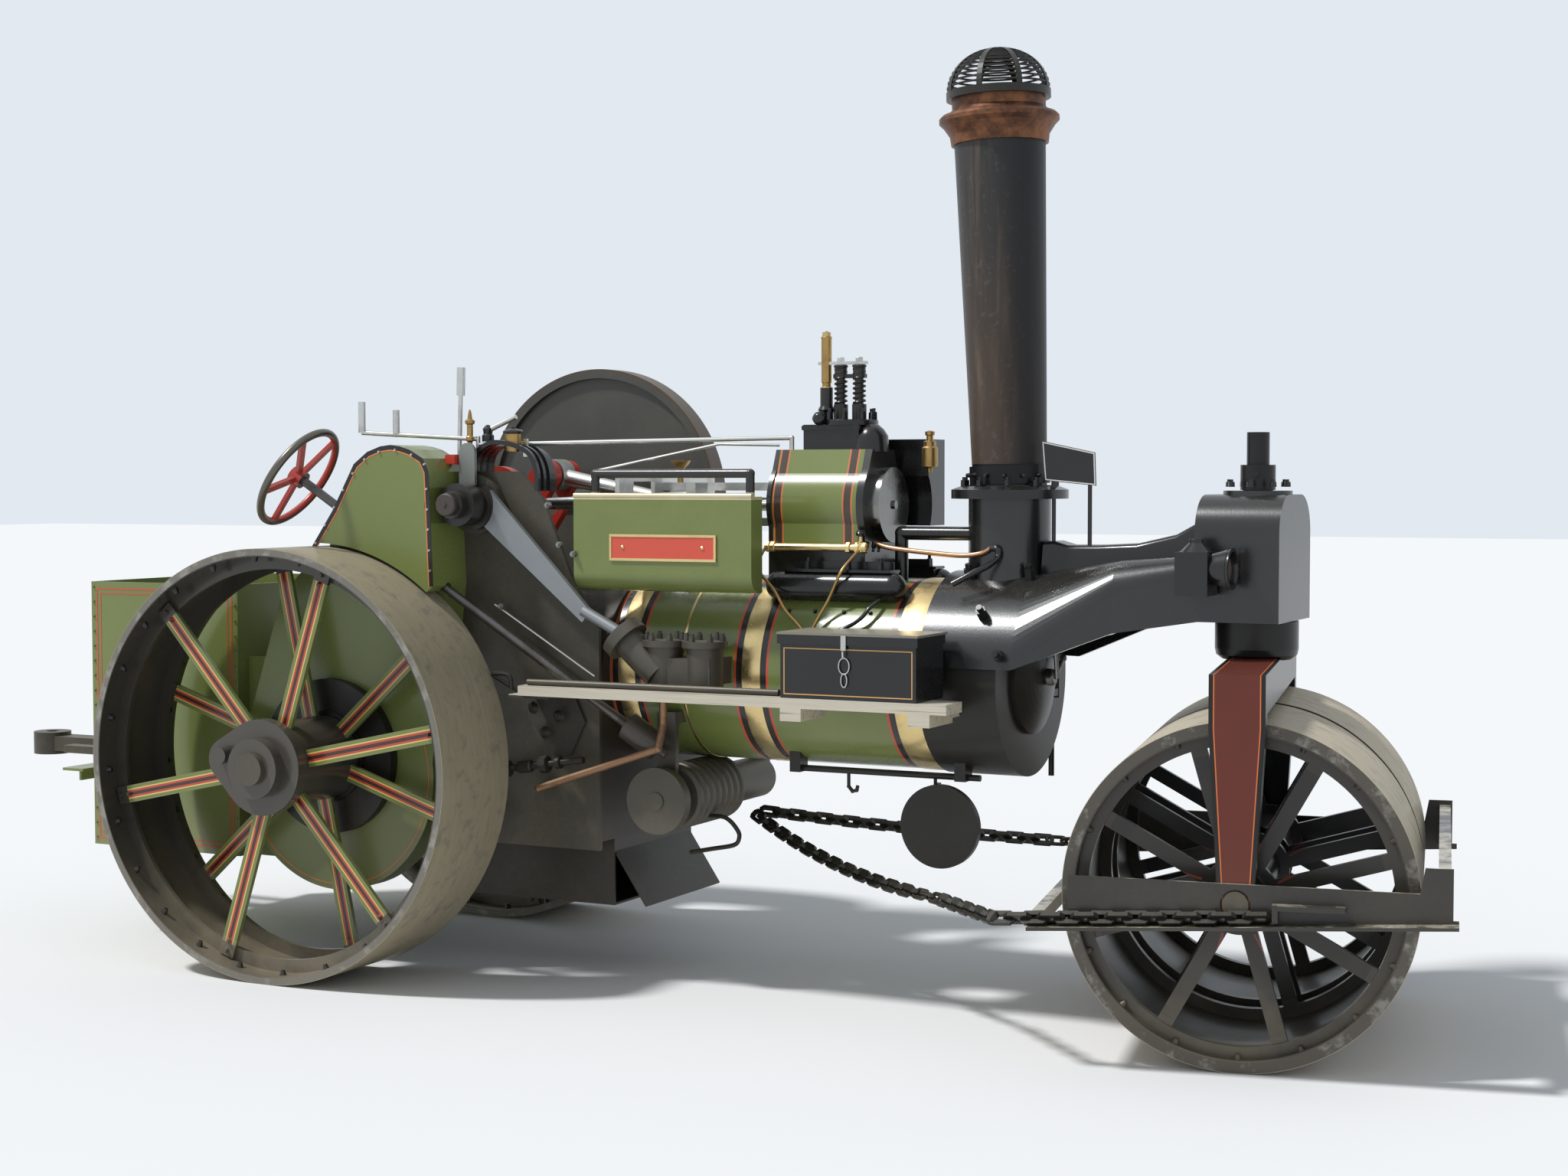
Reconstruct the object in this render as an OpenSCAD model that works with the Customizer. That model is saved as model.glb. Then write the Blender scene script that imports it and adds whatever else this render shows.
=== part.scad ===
// Steam road roller with twin front rolls in a steered fork, standing as it parks.
// Millimetres. +X forward, +Y to the left, +Z up, ground at Z = 0.
// Inside the modules X is measured from the rear axle; placed() moves the machine so that
// the origin lies on the ground under the middle of the whole.

/* [Rear wheels] */
// Diameter over the smooth tread
rear_d = 1524; // [1400:4:1640]
// Width of the tread
rear_tread_w = 400; // [300:5:440]
// Distance from the middle of the machine to the outer face of a tread
rear_face_y = 915; // [880:5:960]
// Thickness of the tread ring
rear_rim_t = 28; // [16:1:40]
// Depth of the two rings that the spokes are riveted to
rear_ring_h = 46; // [25:1:60]
// Spokes in each of the two rows
rear_spokes = 6; // [4:1:8]
// Width of a flat spoke
spoke_w = 62; // [40:1:80]
// Thickness of a flat spoke
spoke_t = 16; // [8:1:24]
// Diameter of the hub barrel
rear_hub_d = 300; // [220:2:360]
// Diameter of the rear axle
axle_d = 112; // [80:1:130]

/* [Front rolls] */
// Diameter of a roll
roll_d = 1050; // [980:2:1080]
// Width of each of the two rolls
roll_w = 610; // [540:2:640]
// Gap between the two rolls
roll_gap = 50; // [30:2:80]
// Thickness of the roll's rim
roll_rim_t = 40; // [20:1:60]
// Spokes of a roll at each end
roll_spokes = 8; // [6:1:10]
// Diameter of the front axle
front_axle_d = 76; // [50:1:90]
// Distance between the rear axle and the head pin
wheelbase = 3269; // [3200:5:3400]
// Angle of the fork from straight ahead as the machine stands, turned to the left
steer_rest = 11; // [0:1:15]

/* [Fork] */
// Gap between a roll's face and the fork leg
fork_gap = 25; // [12:1:40]
// Thickness of a fork leg
leg_t = 74; // [50:1:90]
// Width of a leg and of the crown at the top
leg_top_w = 164; // [130:2:200]
// Width of a leg at the axle
leg_low_w = 104; // [90:2:130]
// Depth of the crown
crown_h = 118; // [90:2:130]
// Gap between the rolls and the crown
crown_gap = 27; // [15:1:50]
// Diameter of the head pin
pin_d = 96; // [70:1:110]
// Diameter of the round neck under the headstock
neck_d = 264; // [220:2:280]

/* [Boiler] */
// Height of the boiler's middle line
boiler_z = 1100; // [1050:5:1150]
// Diameter over the boiler lagging
boiler_d = 650; // [600:5:660]
// Rear end of the boiler barrel
barrel_rear_x = 1060; // [1000:5:1120]
// Front end of the boiler barrel
barrel_front_x = 2235; // [2200:5:2280]
// Front of the smokebox
smokebox_front_x = 2505; // [2480:5:2520]
// Thickness of the smokebox shell
smokebox_t = 14; // [8:1:20]
// Length of the firebox
firebox_l = 660; // [560:5:700]
// Width of the firebox
firebox_w = 760; // [700:5:770]
// Height of the firebox bottom above the ground
firebox_z = 500; // [450:5:560]
// Diameter of the smokebox door
door_d = 390; // [300:2:390]

/* [Chimney] */
// Diameter of the chimney at its foot
chimney_foot_d = 246; // [220:2:270]
// Diameter of the chimney at its top
chimney_top_d = 304; // [260:2:320]
// Height of the chimney foot above the ground
chimney_foot_z = 1745; // [1720:5:1800]
// Height of the chimney top above the ground
chimney_top_z = 2876; // [2780:4:2960]
// Thickness of the chimney plate
chimney_t = 8; // [5:1:12]
// Backward lean of the chimney in degrees
chimney_lean = 2; // [0:0.5:3]
// Distance of the chimney from the rear axle
chimney_x = 2425; // [2405:5:2445]
// Diameter of the chimney cap's lip
cap_d = 400; // [360:2:420]
// Rings of the wire dome
dome_rings = 12; // [6:1:16]

/* [Engine] */
// Height of the crankshaft
crank_z = 1674; // [1660:2:1700]
// Distance of the crankshaft from the rear axle
crank_x = 571; // [560:1:590]
// Crank throw
throw_r = 125; // [100:1:135]
// Angle of the crank as the machine stands
crank_angle = 55; // [40:1:70]
// Diameter of the crankshaft
shaft_d = 96; // [80:1:110]
// Length of the connecting rod between centres
rod_l = 560; // [520:5:600]
// Rear face of the cylinder
cylinder_x = 1595; // [1590:1:1610]
// Length of the lagged part of the cylinder
cylinder_l = 340; // [300:2:360]
// Diameter over the cylinder lagging
cylinder_d = 326; // [300:2:340]
// Diameter of the flywheel
flywheel_d = 1020; // [940:5:1060]
// Width of the flywheel rim
flywheel_w = 92; // [70:1:94]
// Inner face of the flywheel
flywheel_y = 416; // [412:1:420]

/* [Frame plates and tender] */
// Thickness of the side plates that carry crankshaft and axle
plate_t = 16; // [10:1:22]
// Width of the tender
tender_w = 920; // [860:5:940]
// Rear end of the tender behind the rear axle
tender_rear = 1180; // [1100:5:1200]
// Height of the tender's bottom
tender_z = 352; // [320:4:400]
// Height of the footplate above the rear axle's middle
floor_rise = 84; // [76:2:120]
// Height of the bunker's edge
bunker_z = 1370; // [1300:5:1420]
// Thickness of the tender plates
tender_t = 8; // [5:1:12]

/* [Side fittings] */
// Distance from the boiler's lagging to the outer edge of toolbox and shelf
shelf_reach = 275; // [255:2:295]
// Depth of the toolbox
toolbox_w = 220; // [200:2:224]
// Width of the shelf plank
plank_w = 130; // [110:2:134]
// Height of the shelf's upper face
shelf_z = 1056; // [1040:2:1070]
// Thickness of the shelf plank
shelf_t = 34; // [20:1:44]
// Length of the toolbox
toolbox_l = 478; // [420:2:500]
// Height of the toolbox without its lid
toolbox_h = 176; // [140:2:200]
// Thickness of the toolbox walls
toolbox_t = 6; // [3:1:10]
// Diameter of the steering wheel
steering_wheel_d = 410; // [360:5:440]
// Diameter of the chain barrel
barrel_d = 150; // [100:2:160]

/* [Hidden] */
$fn = 96;

// Radial clearance of a shaft that turns in its bearing, and gap between parts that move past each other
run_gap = 0.08;
face_gap = 2;
// Gap of a curved or loose seat
seat_gap = 0.3;
// Distance of the whole machine's middle in front of the rear axle
middle_x = 1066.5;

axle_z = rear_d / 2;
floor_z = axle_z + floor_rise;
roll_z = roll_d / 2;
roll_in_y = roll_gap / 2;
roll_out_y = roll_in_y + roll_w;
leg_in_y = roll_out_y + fork_gap;
leg_out_y = leg_in_y + leg_t;
crown_low_z = roll_d + crown_gap;
crown_top_z = crown_low_z + crown_h;
boiler_r = boiler_d / 2;
boiler_top_z = boiler_z + boiler_r;
shelf_y = boiler_r + shelf_reach;
firebox_x = barrel_rear_x - firebox_l;
plate_in_y = firebox_w / 2;
plate_out_y = plate_in_y + plate_t;
head_low_z = 1312;
head_top_z = 1713;
toolbox_in_y = shelf_y - toolbox_w;
plank_in_y = shelf_y - plank_w;
toolbox_x = 1865;
toolbox_top_z = shelf_z + toolbox_h;
crank_y = 0;
pin_x = crank_x + throw_r * cos(crank_angle);
pin_z = crank_z + throw_r * sin(crank_angle);
cross_x = pin_x + sqrt(rod_l * rod_l - (pin_z - crank_z) * (pin_z - crank_z));

// Moves the machine to its origin
module placed() translate([-middle_x, 0, 0]) children();
// Turns what the fork carries about the head pin; X is then measured from the pin, Y across the rolls
module steered() placed() translate([wheelbase, 0, 0]) rotate([0, 0, steer_rest]) children();
// Cylinder along Y between two distances from the middle
module cyl_y(d, y0, y1) translate([0, y0, 0]) rotate([-90, 0, 0]) cylinder(d = d, h = y1 - y0);
// Cylinder along X between two places
module cyl_x(d, x0, x1) translate([x0, 0, 0]) rotate([0, 90, 0]) cylinder(d = d, h = x1 - x0);
// Flat plate with an outline in X and Z, between two distances from the middle
module plate_y(points, y0, y1)
  translate([0, y1, 0]) rotate([90, 0, 0]) linear_extrude(y1 - y0) polygon(points);
// The same from an outline given as children
module sheet_y(y0, y1) translate([0, y1, 0]) rotate([90, 0, 0]) linear_extrude(y1 - y0) children();
// Form with an outline in Y and Z, between two places along X
module sheet_x(x0, x1) translate([x0, 0, 0]) rotate([90, 0, 90]) linear_extrude(x1 - x0) children();
// Box from its lowest to its highest corner
module block(a, b) translate(a) cube(b - a);
// Round bar between two points
module bar(a, b, d) {
  v = b - a;
  l = norm(v);
  translate(a) rotate([0, acos(v[2] / l), atan2(v[1], v[0])]) cylinder(d = d, h = l, $fn = 24);
}
// Round bar through a list of points, with a ball at each bend
module bent_bar(points, d)
  for (i = [0:len(points) - 2]) {
    bar(points[i], points[i + 1], d + 0.6 * (i % 2));
    if (i > 0) translate(points[i]) sphere(d = d + 2, $fn = 24);
  }

// Boiler and firebox
module boiler_barrel() color("olivedrab")
  translate([0, 0, boiler_z]) cyl_x(boiler_d, barrel_rear_x, barrel_front_x);

module firebox_outline(w) {
  translate([0, boiler_top_z - w / 2]) circle(d = w);
  translate([-w / 2, firebox_z]) square([w, boiler_top_z - w / 2 - firebox_z]);
}
firehole_d = 330;
firehole_z = 1060;
firehole_hinge_y = firehole_d / 2 + 12;
module firebox() color("dimgray") {
  difference() {
    sheet_x(firebox_x, barrel_rear_x) firebox_outline(firebox_w);
    translate([0, 0, firehole_z]) cyl_x(firehole_d - 60, firebox_x - 1, firebox_x + 120);
  }
  translate([0, 0, firehole_z]) difference() {
    cyl_x(firehole_d, firebox_x - 16, firebox_x);
    cyl_x(firehole_d - 60, firebox_x - 17, firebox_x + 1);
  }
  // Lugs above and under the door's hinge pin
  for (s = [-1, 1]) translate([0, 0, firehole_z + s * (67.5 + seat_gap)])
    block([firebox_x - 36, firehole_hinge_y - 12, -7.5], [firebox_x, firehole_hinge_y + 12, 7.5]);
}
module firehole_door() color("black") {
  translate([0, 0, firehole_z]) cyl_x(firehole_d - 20, firebox_x - 34, firebox_x - 18);
  translate([firebox_x - 26, firehole_hinge_y, 0])
    translate([0, 0, firehole_z - 60]) cylinder(d = 16, h = 120);
  for (s = [-1, 1])
    block([firebox_x - 30, 0, firehole_z + s * 40 - 10], [firebox_x - 22, firehole_hinge_y, firehole_z + s * 40 + 10]);
}

// Side plates with the shaft bearings
shaft2_x = 236;
shaft2_z = 1450;
plate_outline = [[-230, 470], [-230, 960], [60, 1180], [330, 1560], [400, 1790], [742, 1790],
  [830, 1700], [950, 1420], [1060, 1240], [1060, 470]];
module hornplates() color("black") for (s = [-1, 1]) {
  difference() {
    union() {
      plate_y(plate_outline, min(s * plate_in_y, s * plate_out_y), max(s * plate_in_y, s * plate_out_y));
      translate([crank_x, 0, crank_z]) boss(s, 210, s < 0 ? 34 : 12);
      translate([0, 0, axle_z]) boss(s, 230, 34);
      if (s > 0) translate([shaft2_x, 0, shaft2_z]) boss(s, 150, 12);
    }
    translate([crank_x, 0, crank_z]) cyl_y(shaft_d + 2 * run_gap, -1000, 1000);
    translate([0, 0, axle_z]) cyl_y(axle_d + 2 * seat_gap, -1000, 1000);
  }
}
// Bearing boss on the outer side of a plate
module boss(s, d, t)
  cyl_y(d, min(s * (plate_in_y + 1), s * (plate_out_y + t)), max(s * (plate_in_y + 1), s * (plate_out_y + t)));

module ash_pan() color("black") {
  pan_w = 560;
  difference() {
    plate_y([[firebox_x + 20, 260], [firebox_x, firebox_z], [barrel_rear_x - 10, firebox_z], [barrel_rear_x - 10, 260]],
      -pan_w / 2, pan_w / 2);
    block([firebox_x + 40, 8 - pan_w / 2, 268], [barrel_rear_x + 20, pan_w / 2 - 8, 440]);
  }
  // Open damper flap
  plate_y([[barrel_rear_x - 10, 440], [barrel_rear_x + 110, 262], [barrel_rear_x + 116, 266], [barrel_rear_x - 10, 452]],
    8 - pan_w / 2, pan_w / 2 - 8);
}

module smokebox() color("dimgray") translate([0, 0, boiler_z]) {
  difference() {
    union() {
      cyl_x(boiler_d + 14, barrel_front_x, smokebox_front_x - 24);
      cyl_x(boiler_d + 14, smokebox_front_x - 24, smokebox_front_x);
    }
    cyl_x(boiler_d - 2 * smokebox_t, barrel_front_x + 20, smokebox_front_x - smokebox_t);
    translate([0, 0, door_z - boiler_z]) cyl_x(door_d - 50, smokebox_front_x - 60, smokebox_front_x + 10);
    // Blast way into the chimney
    translate([chimney_x, 0, 0]) cylinder(d = chimney_foot_d - 40, h = boiler_r + 40);
  }
}
door_z = 1105;
door_hinge_y = door_d / 2 + 14;
door_dish = 40;
module smokebox_door() color("dimgray") {
  translate([0, 0, door_z]) {
    translate([smokebox_front_x + 0.5, 0, 0]) rotate([0, 90, 0]) rotate_extrude()
      polygon(concat([[0, 0], [door_d / 2, 0]],
        [for (i = [0:8]) [door_d / 2 * (1 - i / 8), 14 + door_dish * (1 - (1 - i / 8) * (1 - i / 8))]]));
    cyl_x(52, smokebox_front_x + 40, smokebox_front_x + 74);
  }
  translate([smokebox_front_x + 12, door_hinge_y, door_z - 90]) cylinder(d = 20, h = 180);
  for (s = [-1, 1])
    block([smokebox_front_x + 4, 60, door_z + s * 70 - 12], [smokebox_front_x + 20, door_hinge_y, door_z + s * 70 + 12]);
}

// Saddle over the smokebox, perch and headstock in one casting
saddle_t = 22;
saddle_out_r = boiler_r + 7 + saddle_t;
skirt_z = 1150;
// Where the perch changes its shape, and the middle of the headstock
perch_xs = [2560, wheelbase - 409, wheelbase - 139];
head_x = wheelbase - 14;
module half_barrel(r, low) intersection() {
  translate([0, boiler_z]) circle(r = r);
  translate([-r, low]) square([2 * r, 2 * r]);
}
module perch_outline(w, top, low, r) {
  translate([w / 2 - r, top - r]) circle(r = r);
  translate([r - w / 2, top - r]) circle(r = r);
  translate([-w / 2, low]) square([w, top - r - low]);
  translate([r - w / 2, low]) square([w - 2 * r, top - low]);
}
module saddle_headstock() color("black") {
  difference() {
    union() {
      sheet_x(barrel_front_x + 6, perch_xs[0]) half_barrel(saddle_out_r, skirt_z);
      hull() {
        sheet_x(perch_xs[0] - 1, perch_xs[0]) half_barrel(saddle_out_r, skirt_z);
        sheet_x(perch_xs[1], perch_xs[1] + 1) perch_outline(470, 1500, 1270, 110);
      }
      hull() {
        sheet_x(perch_xs[1], perch_xs[1] + 1) perch_outline(470, 1500, 1270, 110);
        sheet_x(perch_xs[2], perch_xs[2] + 1) perch_outline(376, 1520, head_low_z, 60);
      }
      headstock_body();
      // Chimney column cast on the saddle
      translate([chimney_x, 0, 1400]) cylinder(d = 276, h = 1697 - 1400);
    }
    sheet_x(barrel_front_x, smokebox_front_x) translate([0, boiler_z]) circle(d = boiler_d + 14);
    hull() {
      sheet_x(smokebox_front_x - 1, smokebox_front_x) half_barrel(boiler_r + 7, 1000);
      sheet_x(perch_xs[1] - 20, perch_xs[1] - 19) perch_outline(426, 1470, 1200, 90);
    }
    sheet_x(perch_xs[1] - 20, perch_xs[2] - 50) perch_outline(330, 1470, 1200, 60);
    translate([chimney_x, 0, 1300]) cylinder(d = 206, h = 500);
    translate([wheelbase, 0, head_low_z - 50]) cylinder(d = pin_d + 2 * run_gap, h = 500);
  }
}
module headstock_body() {
  sheet_x(head_x - 135, head_x + 135) perch_outline(386, head_top_z, head_low_z, 120);
  translate([wheelbase, 0, head_top_z - 20]) cylinder(d = 218, h = 32);
}

// Chimney
module lean() translate([chimney_x, 0, chimney_foot_z]) rotate([0, -chimney_lean, 0]) children();
module chimney_base() color("black") translate([chimney_x, 0, 0]) difference() {
  union() {
    translate([0, 0, 1697]) cylinder(d = 392, h = 30);
    translate([0, 0, 1727]) cylinder(d1 = 392, d2 = 330, h = 12);
    translate([0, 0, 1697]) cylinder(d = 290, h = 45);
  }
  translate([0, 0, 1600]) cylinder(d = 206, h = 200);
}
module chimney() color("saddlebrown") {
  h = chimney_top_z - chimney_foot_z;
  difference() {
    intersection() {
      lean() difference() {
        union() {
          translate([0, 0, -20]) cylinder(d1 = chimney_foot_d, d2 = chimney_top_d, h = h + 20);
          translate([0, 0, 0]) cylinder(d = chimney_foot_d + 22, h = 62);
        }
        translate([0, 0, -40])
          cylinder(d1 = chimney_foot_d - 2 * chimney_t, d2 = chimney_top_d - 2 * chimney_t, h = h + 60);
      }
      translate([chimney_x, 0, 1742]) translate([-400, -400, 0]) cube([800, 800, 2000]);
    }
  }
}
module chimney_cap() color("sienna") {
  h = chimney_top_z - chimney_foot_z;
  lean() translate([0, 0, h]) rotate_extrude()
    polygon([[chimney_top_d / 2 - 2, 0], [chimney_top_d / 2 + 10, 0], [chimney_top_d / 2 + 14, 30],
      [cap_d / 2 - 14, 60], [cap_d / 2, 74], [cap_d / 2, 88], [cap_d / 2 - 10, 98],
      [chimney_top_d / 2 + 16, 104], [chimney_top_d / 2 + 4, 118], [chimney_top_d / 2 + 4, 150],
      [chimney_top_d / 2 - 8, 150], [chimney_top_d / 2 - 8, 0]]);
}
dome_d = 340;
dome_h = 165;
wire_d = 6;
module spark_arrester() color("gray") {
  h = chimney_top_z - chimney_foot_z + 150;
  lean() translate([0, 0, h]) {
    difference() {
      cylinder(d = dome_d + 8, h = 26);
      translate([0, 0, -1]) cylinder(d = chimney_top_d - 20, h = 40);
    }
    // Wire rings from the band up to the crown
    for (i = [1:dome_rings]) {
      a = 90 * i / (dome_rings + 1);
      translate([0, 0, 24 + (dome_h - 24) * sin(a)]) rotate_extrude()
        translate([dome_d / 2 * cos(a) - wire_d / 2, -wire_d / 2]) square(wire_d);
    }
    // Flat ribs over the rings
    for (k = [0:3]) rotate([0, 0, 45 * k]) dome_rib();
  }
}
module dome_rib() rotate([90, 0, 0]) translate([0, 0, -9]) linear_extrude(18) difference() {
  scale_arc(dome_d / 2 + 5, dome_h + 5);
  scale_arc(dome_d / 2 - 1, dome_h - 1);
}
function arc_points(rx, rz, n) = [for (i = [0:n]) [rx * cos(180 * i / n), 24 + (rz - 24) * sin(180 * i / n)]];
module scale_arc(rx, rz) polygon(arc_points(rx, rz, 24));

module headlamp() color("dimgray") {
  translate([head_x - 3255, -268, 0]) {
    block([3095, -54, 1400], [3200, 54, 1536]);
    translate([3148, 0, 1536]) cylinder(d1 = 100, d2 = 40, h = 30);
    translate([3148, 0, 1560]) cylinder(d = 44, h = 16);
    translate([0, 0, 1484]) difference() {
      union() {
        translate([3200, 0, 0]) rotate([0, 90, 0]) cylinder(d1 = 96, d2 = 128, h = 56);
      }
      translate([3230, 0, 0]) rotate([0, 90, 0]) cylinder(d1 = 100, d2 = 116, h = 30);
    }
  }
  block([head_x - 125, -216, 1440], [head_x - 85, -193, 1500]);
}

// Cylinder
cyl_z = crank_z;
cyl_end_x = cylinder_x + cylinder_l;
module cylinder_form(r) {
  translate([0, cyl_z]) circle(r = r);
  polygon([[-r * 0.96, cyl_z - 46], [r * 0.96, cyl_z - 46], [r * 0.96, cyl_z + 20], [90, cyl_z + 190], [-90, cyl_z + 190], [-r * 0.96, cyl_z + 20]]);
}
module cylinder_body() color("olivedrab") {
  sheet_x(cylinder_x + 16, cyl_end_x) cylinder_form(cylinder_d / 2);
  sheet_x(cylinder_x, cylinder_x + 16) cylinder_form(cylinder_d / 2 + 6);
  sheet_x(cyl_end_x, cyl_end_x + 26) cylinder_form(cylinder_d / 2 + 8);
  difference() {
    block([cylinder_x, -150, boiler_z + 250], [cyl_end_x + 26, 150, cyl_z - 60]);
    translate([0, 0, boiler_z]) cyl_x(boiler_d, 1500, 2100);
  }
}
module cylinder_cover() color("silver") translate([0, 0, cyl_z]) {
  cyl_x(258, cyl_end_x + 26, cyl_end_x + 66);
  cyl_x(30, cyl_end_x + 66, cyl_end_x + 74);
}
module steam_chest() color("black") {
  // Rounded foot of the cylinder along the boiler's shoulder, both sides
  for (s = [-1, 1]) difference() {
    union() {
      translate([0, s * 206, boiler_z + 300]) cyl_x(100, 1668, 2085);
      block([1668, min(s * 150, s * 206), boiler_z + 250], [2085, max(s * 150, s * 206), boiler_z + 350]);
      for (x = [1668, 2085]) translate([x, s * 206, boiler_z + 300]) sphere(d = 100);
    }
    translate([0, 0, boiler_z]) cyl_x(boiler_d + 2 * seat_gap, 1500, 2200);
    block([1500, -150, 1200], [2200, 150, 1500]);
  }
  // Valve chest on the left side, regulator box on top
  difference() {
    union() {
      block([1630, 140, 1600], [2070, cylinder_d / 2 + 120, 1900]);
      block([1690, -70, cyl_z + 180], [1900, 90, 1950]);
    }
    sheet_x(1500, 1900) cylinder_form(cylinder_d / 2 + 8 + seat_gap);
    sheet_x(1500, 2200) cylinder_form(cylinder_d / 2 + 8 + seat_gap);
  }
}
module safety_valves() color("black") {
  translate([1745, 0, 1950]) {
    translate([0, 0, 0]) cylinder(d = 44, h = 130);
    translate([0, 0, 130]) cylinder(d = 30, h = 190);
  }
  for (x = [1800, 1870]) translate([x, 0, 1950]) {
    cylinder(d = 50, h = 70);
    translate([0, 0, 70]) cylinder(d = 30, h = 90);
    translate([0, 0, 160]) cylinder(d = 44, h = 40);
  }
  translate([1835, 0, 2110]) block([-60, -10, 0], [60, 10, 14]);
}
module exhaust_pipe() color("black") difference() {
  bent_bar([[2052, -50, boiler_top_z - 4], [2052, -50, 1579], [2310, -50, 1579]], 46);
  translate([chimney_x, 0, 0]) cylinder(d = 276 + 2 * seat_gap, h = 3000);
  translate([0, 0, boiler_z]) cyl_x(boiler_d + 2 * seat_gap, 1000, 3000);
}

// Motion
cross_l = 110;
guide_x = 1100;
module crosshead_guides() color("silver") difference() {
  union() {
    for (s = [-1, 1]) block([guide_x, -34, cyl_z + s * 62 - 14], [cylinder_x, 34, cyl_z + s * 62 + 14]);
    sheet_x(guide_x, guide_x + 16) polygon([[-350, 1400], [350, 1400], [350, cyl_z + 110], [-350, cyl_z + 110]]);
  }
  translate([0, 0, boiler_z]) cyl_x(boiler_d + 2 * seat_gap, 1000, 2000);
  block([guide_x - 10, -40, cyl_z - 48], [guide_x + 30, 40, cyl_z + 48]);
  block([guide_x - 10, -40, cyl_z - 48], [guide_x - 0.1, 40, cyl_z + 100]);
  block([guide_x - 10, -250, cyl_z - 110], [guide_x + 30, -100, cyl_z + 80]);
}
module connecting_rod() color("lightgray") {
  // Crosshead and piston rod
  block([cross_x - cross_l / 2, -32, cyl_z - 47.5], [cross_x + cross_l / 2, 32, cyl_z + 47.5]);
  translate([0, 0, cyl_z]) cyl_x(48, cross_x + cross_l / 2, cylinder_x - seat_gap);
  // Rod between crosshead and crank pin
  translate([pin_x, 0, pin_z]) {
    cyl_y(118, -42, 42);
    cyl_y(82, -44.5, 44.5);
  }
  a = [pin_x, 0, pin_z];
  v = [cross_x, 0, cyl_z] - a;
  translate(a) rotate([0, acos(v[2] / norm(v)), 0])
    translate([0, 0, 40]) cylinder(d1 = 62, d2 = 44, h = rod_l - 40 - cross_l / 2 + 2);
}
sheave_ys = [-210, -150];
module valve_gear() color("lightgray") for (i = [0, 1]) {
  a = i == 0 ? 150 : 250;
  y = sheave_ys[i];
  difference() {
    union() {
      translate([crank_x + 40 * cos(a), 0, crank_z + 40 * sin(a)]) cyl_y(230, y - 22, y + 22);
      bar([crank_x + 60, y, crank_z], [1330, y, cyl_z + 30 - 60 * i], 34);
    }
    translate([crank_x, 0, crank_z]) cyl_y(shaft_d + 2 * run_gap, -300, 0);
  }
  if (i == 0) {
    // Link between the two rods, and the valve rod
    block([1312, sheave_ys[0] - 14, cyl_z - 76], [1348, sheave_ys[1] + 14, cyl_z + 76]);
    difference() {
      bar([1340, -180, cyl_z], [cylinder_x + 8, -130, cyl_z], 30);
      block([cylinder_x - seat_gap, -200, cyl_z - 60], [cylinder_x + 40, -60, cyl_z + 60]);
    }
  }
}
module crankshaft() color("silver") translate([crank_x, 0, crank_z]) {
  cyl_y(shaft_d, -580, -50);
  cyl_y(shaft_d, 50, flywheel_y + flywheel_w + 22);
  cyl_y(66, -602, -580);
  for (s = [-1, 1]) rotate([0, -crank_angle, 0])
    sheet_y(min(s * 50, s * 88), max(s * 50, s * 88)) {
      circle(d = 150);
      translate([throw_r, 0]) circle(d = 110);
      translate([0, -55]) square([throw_r, 110]);
      translate([-150, -75]) square([150, 150]);
    }
  // Pinion outside the right plate
  cyl_y(150, -545, -480);
}
module flywheel() color("black") translate([crank_x, 0, crank_z]) difference() {
  union() {
    sheet_y(flywheel_y, flywheel_y + flywheel_w) difference() {
      circle(d = flywheel_d, $fn = 180);
      circle(d = flywheel_d - 70, $fn = 180);
    }
    cyl_y(flywheel_d - 60, flywheel_y + 20, flywheel_y + 36);
    cyl_y(210, flywheel_y, flywheel_y + flywheel_w + 3);
  }
  cyl_y(shaft_d, 0, 900);
}

// Casing over the gears: a tall guard above the wheel and a flat round casing beside it
guard_out_y = 600;
casing_out_y = 500;
casing_r = 430;
casing_z = 700;
guard_points = [[-13, 1522], [81, 1653], [175, 1817], [234, 1860], [290, 1879], [333, 1884], [375, 1878],
  [414, 1867], [471, 1836], [495, 1790], [511, 1390], [440, 1340], [-60, 1340]];
module gear_guard() color("olivedrab") difference() {
  union() {
    difference() {
      plate_y(guard_points, -guard_out_y, -plate_out_y - seat_gap);
      translate([0, 0, axle_z]) cyl_y(rear_d + 24, -700, -casing_out_y);
    }
    sheet_y(-casing_out_y, -plate_out_y - seat_gap) {
      translate([5, casing_z]) circle(r = casing_r);
      polygon([[-415, 790], [-230, 1340], [-60, 1500], [511, 1390], [432, 760]]);
    }
  }
  // Room for bearings, pinion and steering column
  translate([crank_x, 0, crank_z]) cyl_y(214, -plate_out_y - 36, 0);
  translate([crank_x, 0, crank_z]) cyl_y(190, -700, 0);
  translate([0, 0, axle_z]) cyl_y(234, -plate_out_y - 36, 0);
  translate([0, 0, axle_z]) cyl_y(axle_d + 2 * seat_gap, -700, 0);
  bar(column_top, column_low, 44);
}
drum_out_y = 552;
module differential_drum() color("black") translate([0, 0, axle_z]) difference() {
  union() {
    cyl_y(560, -drum_out_y + 12, -casing_out_y);
    cyl_y(330, -drum_out_y, -casing_out_y);
  }
  cyl_y(axle_d + 2 * seat_gap, -600, -300);
}
module rear_axle() color("dimgray") translate([0, 0, axle_z]) cyl_y(axle_d, -rear_face_y - 70, rear_face_y + 70);

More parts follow.
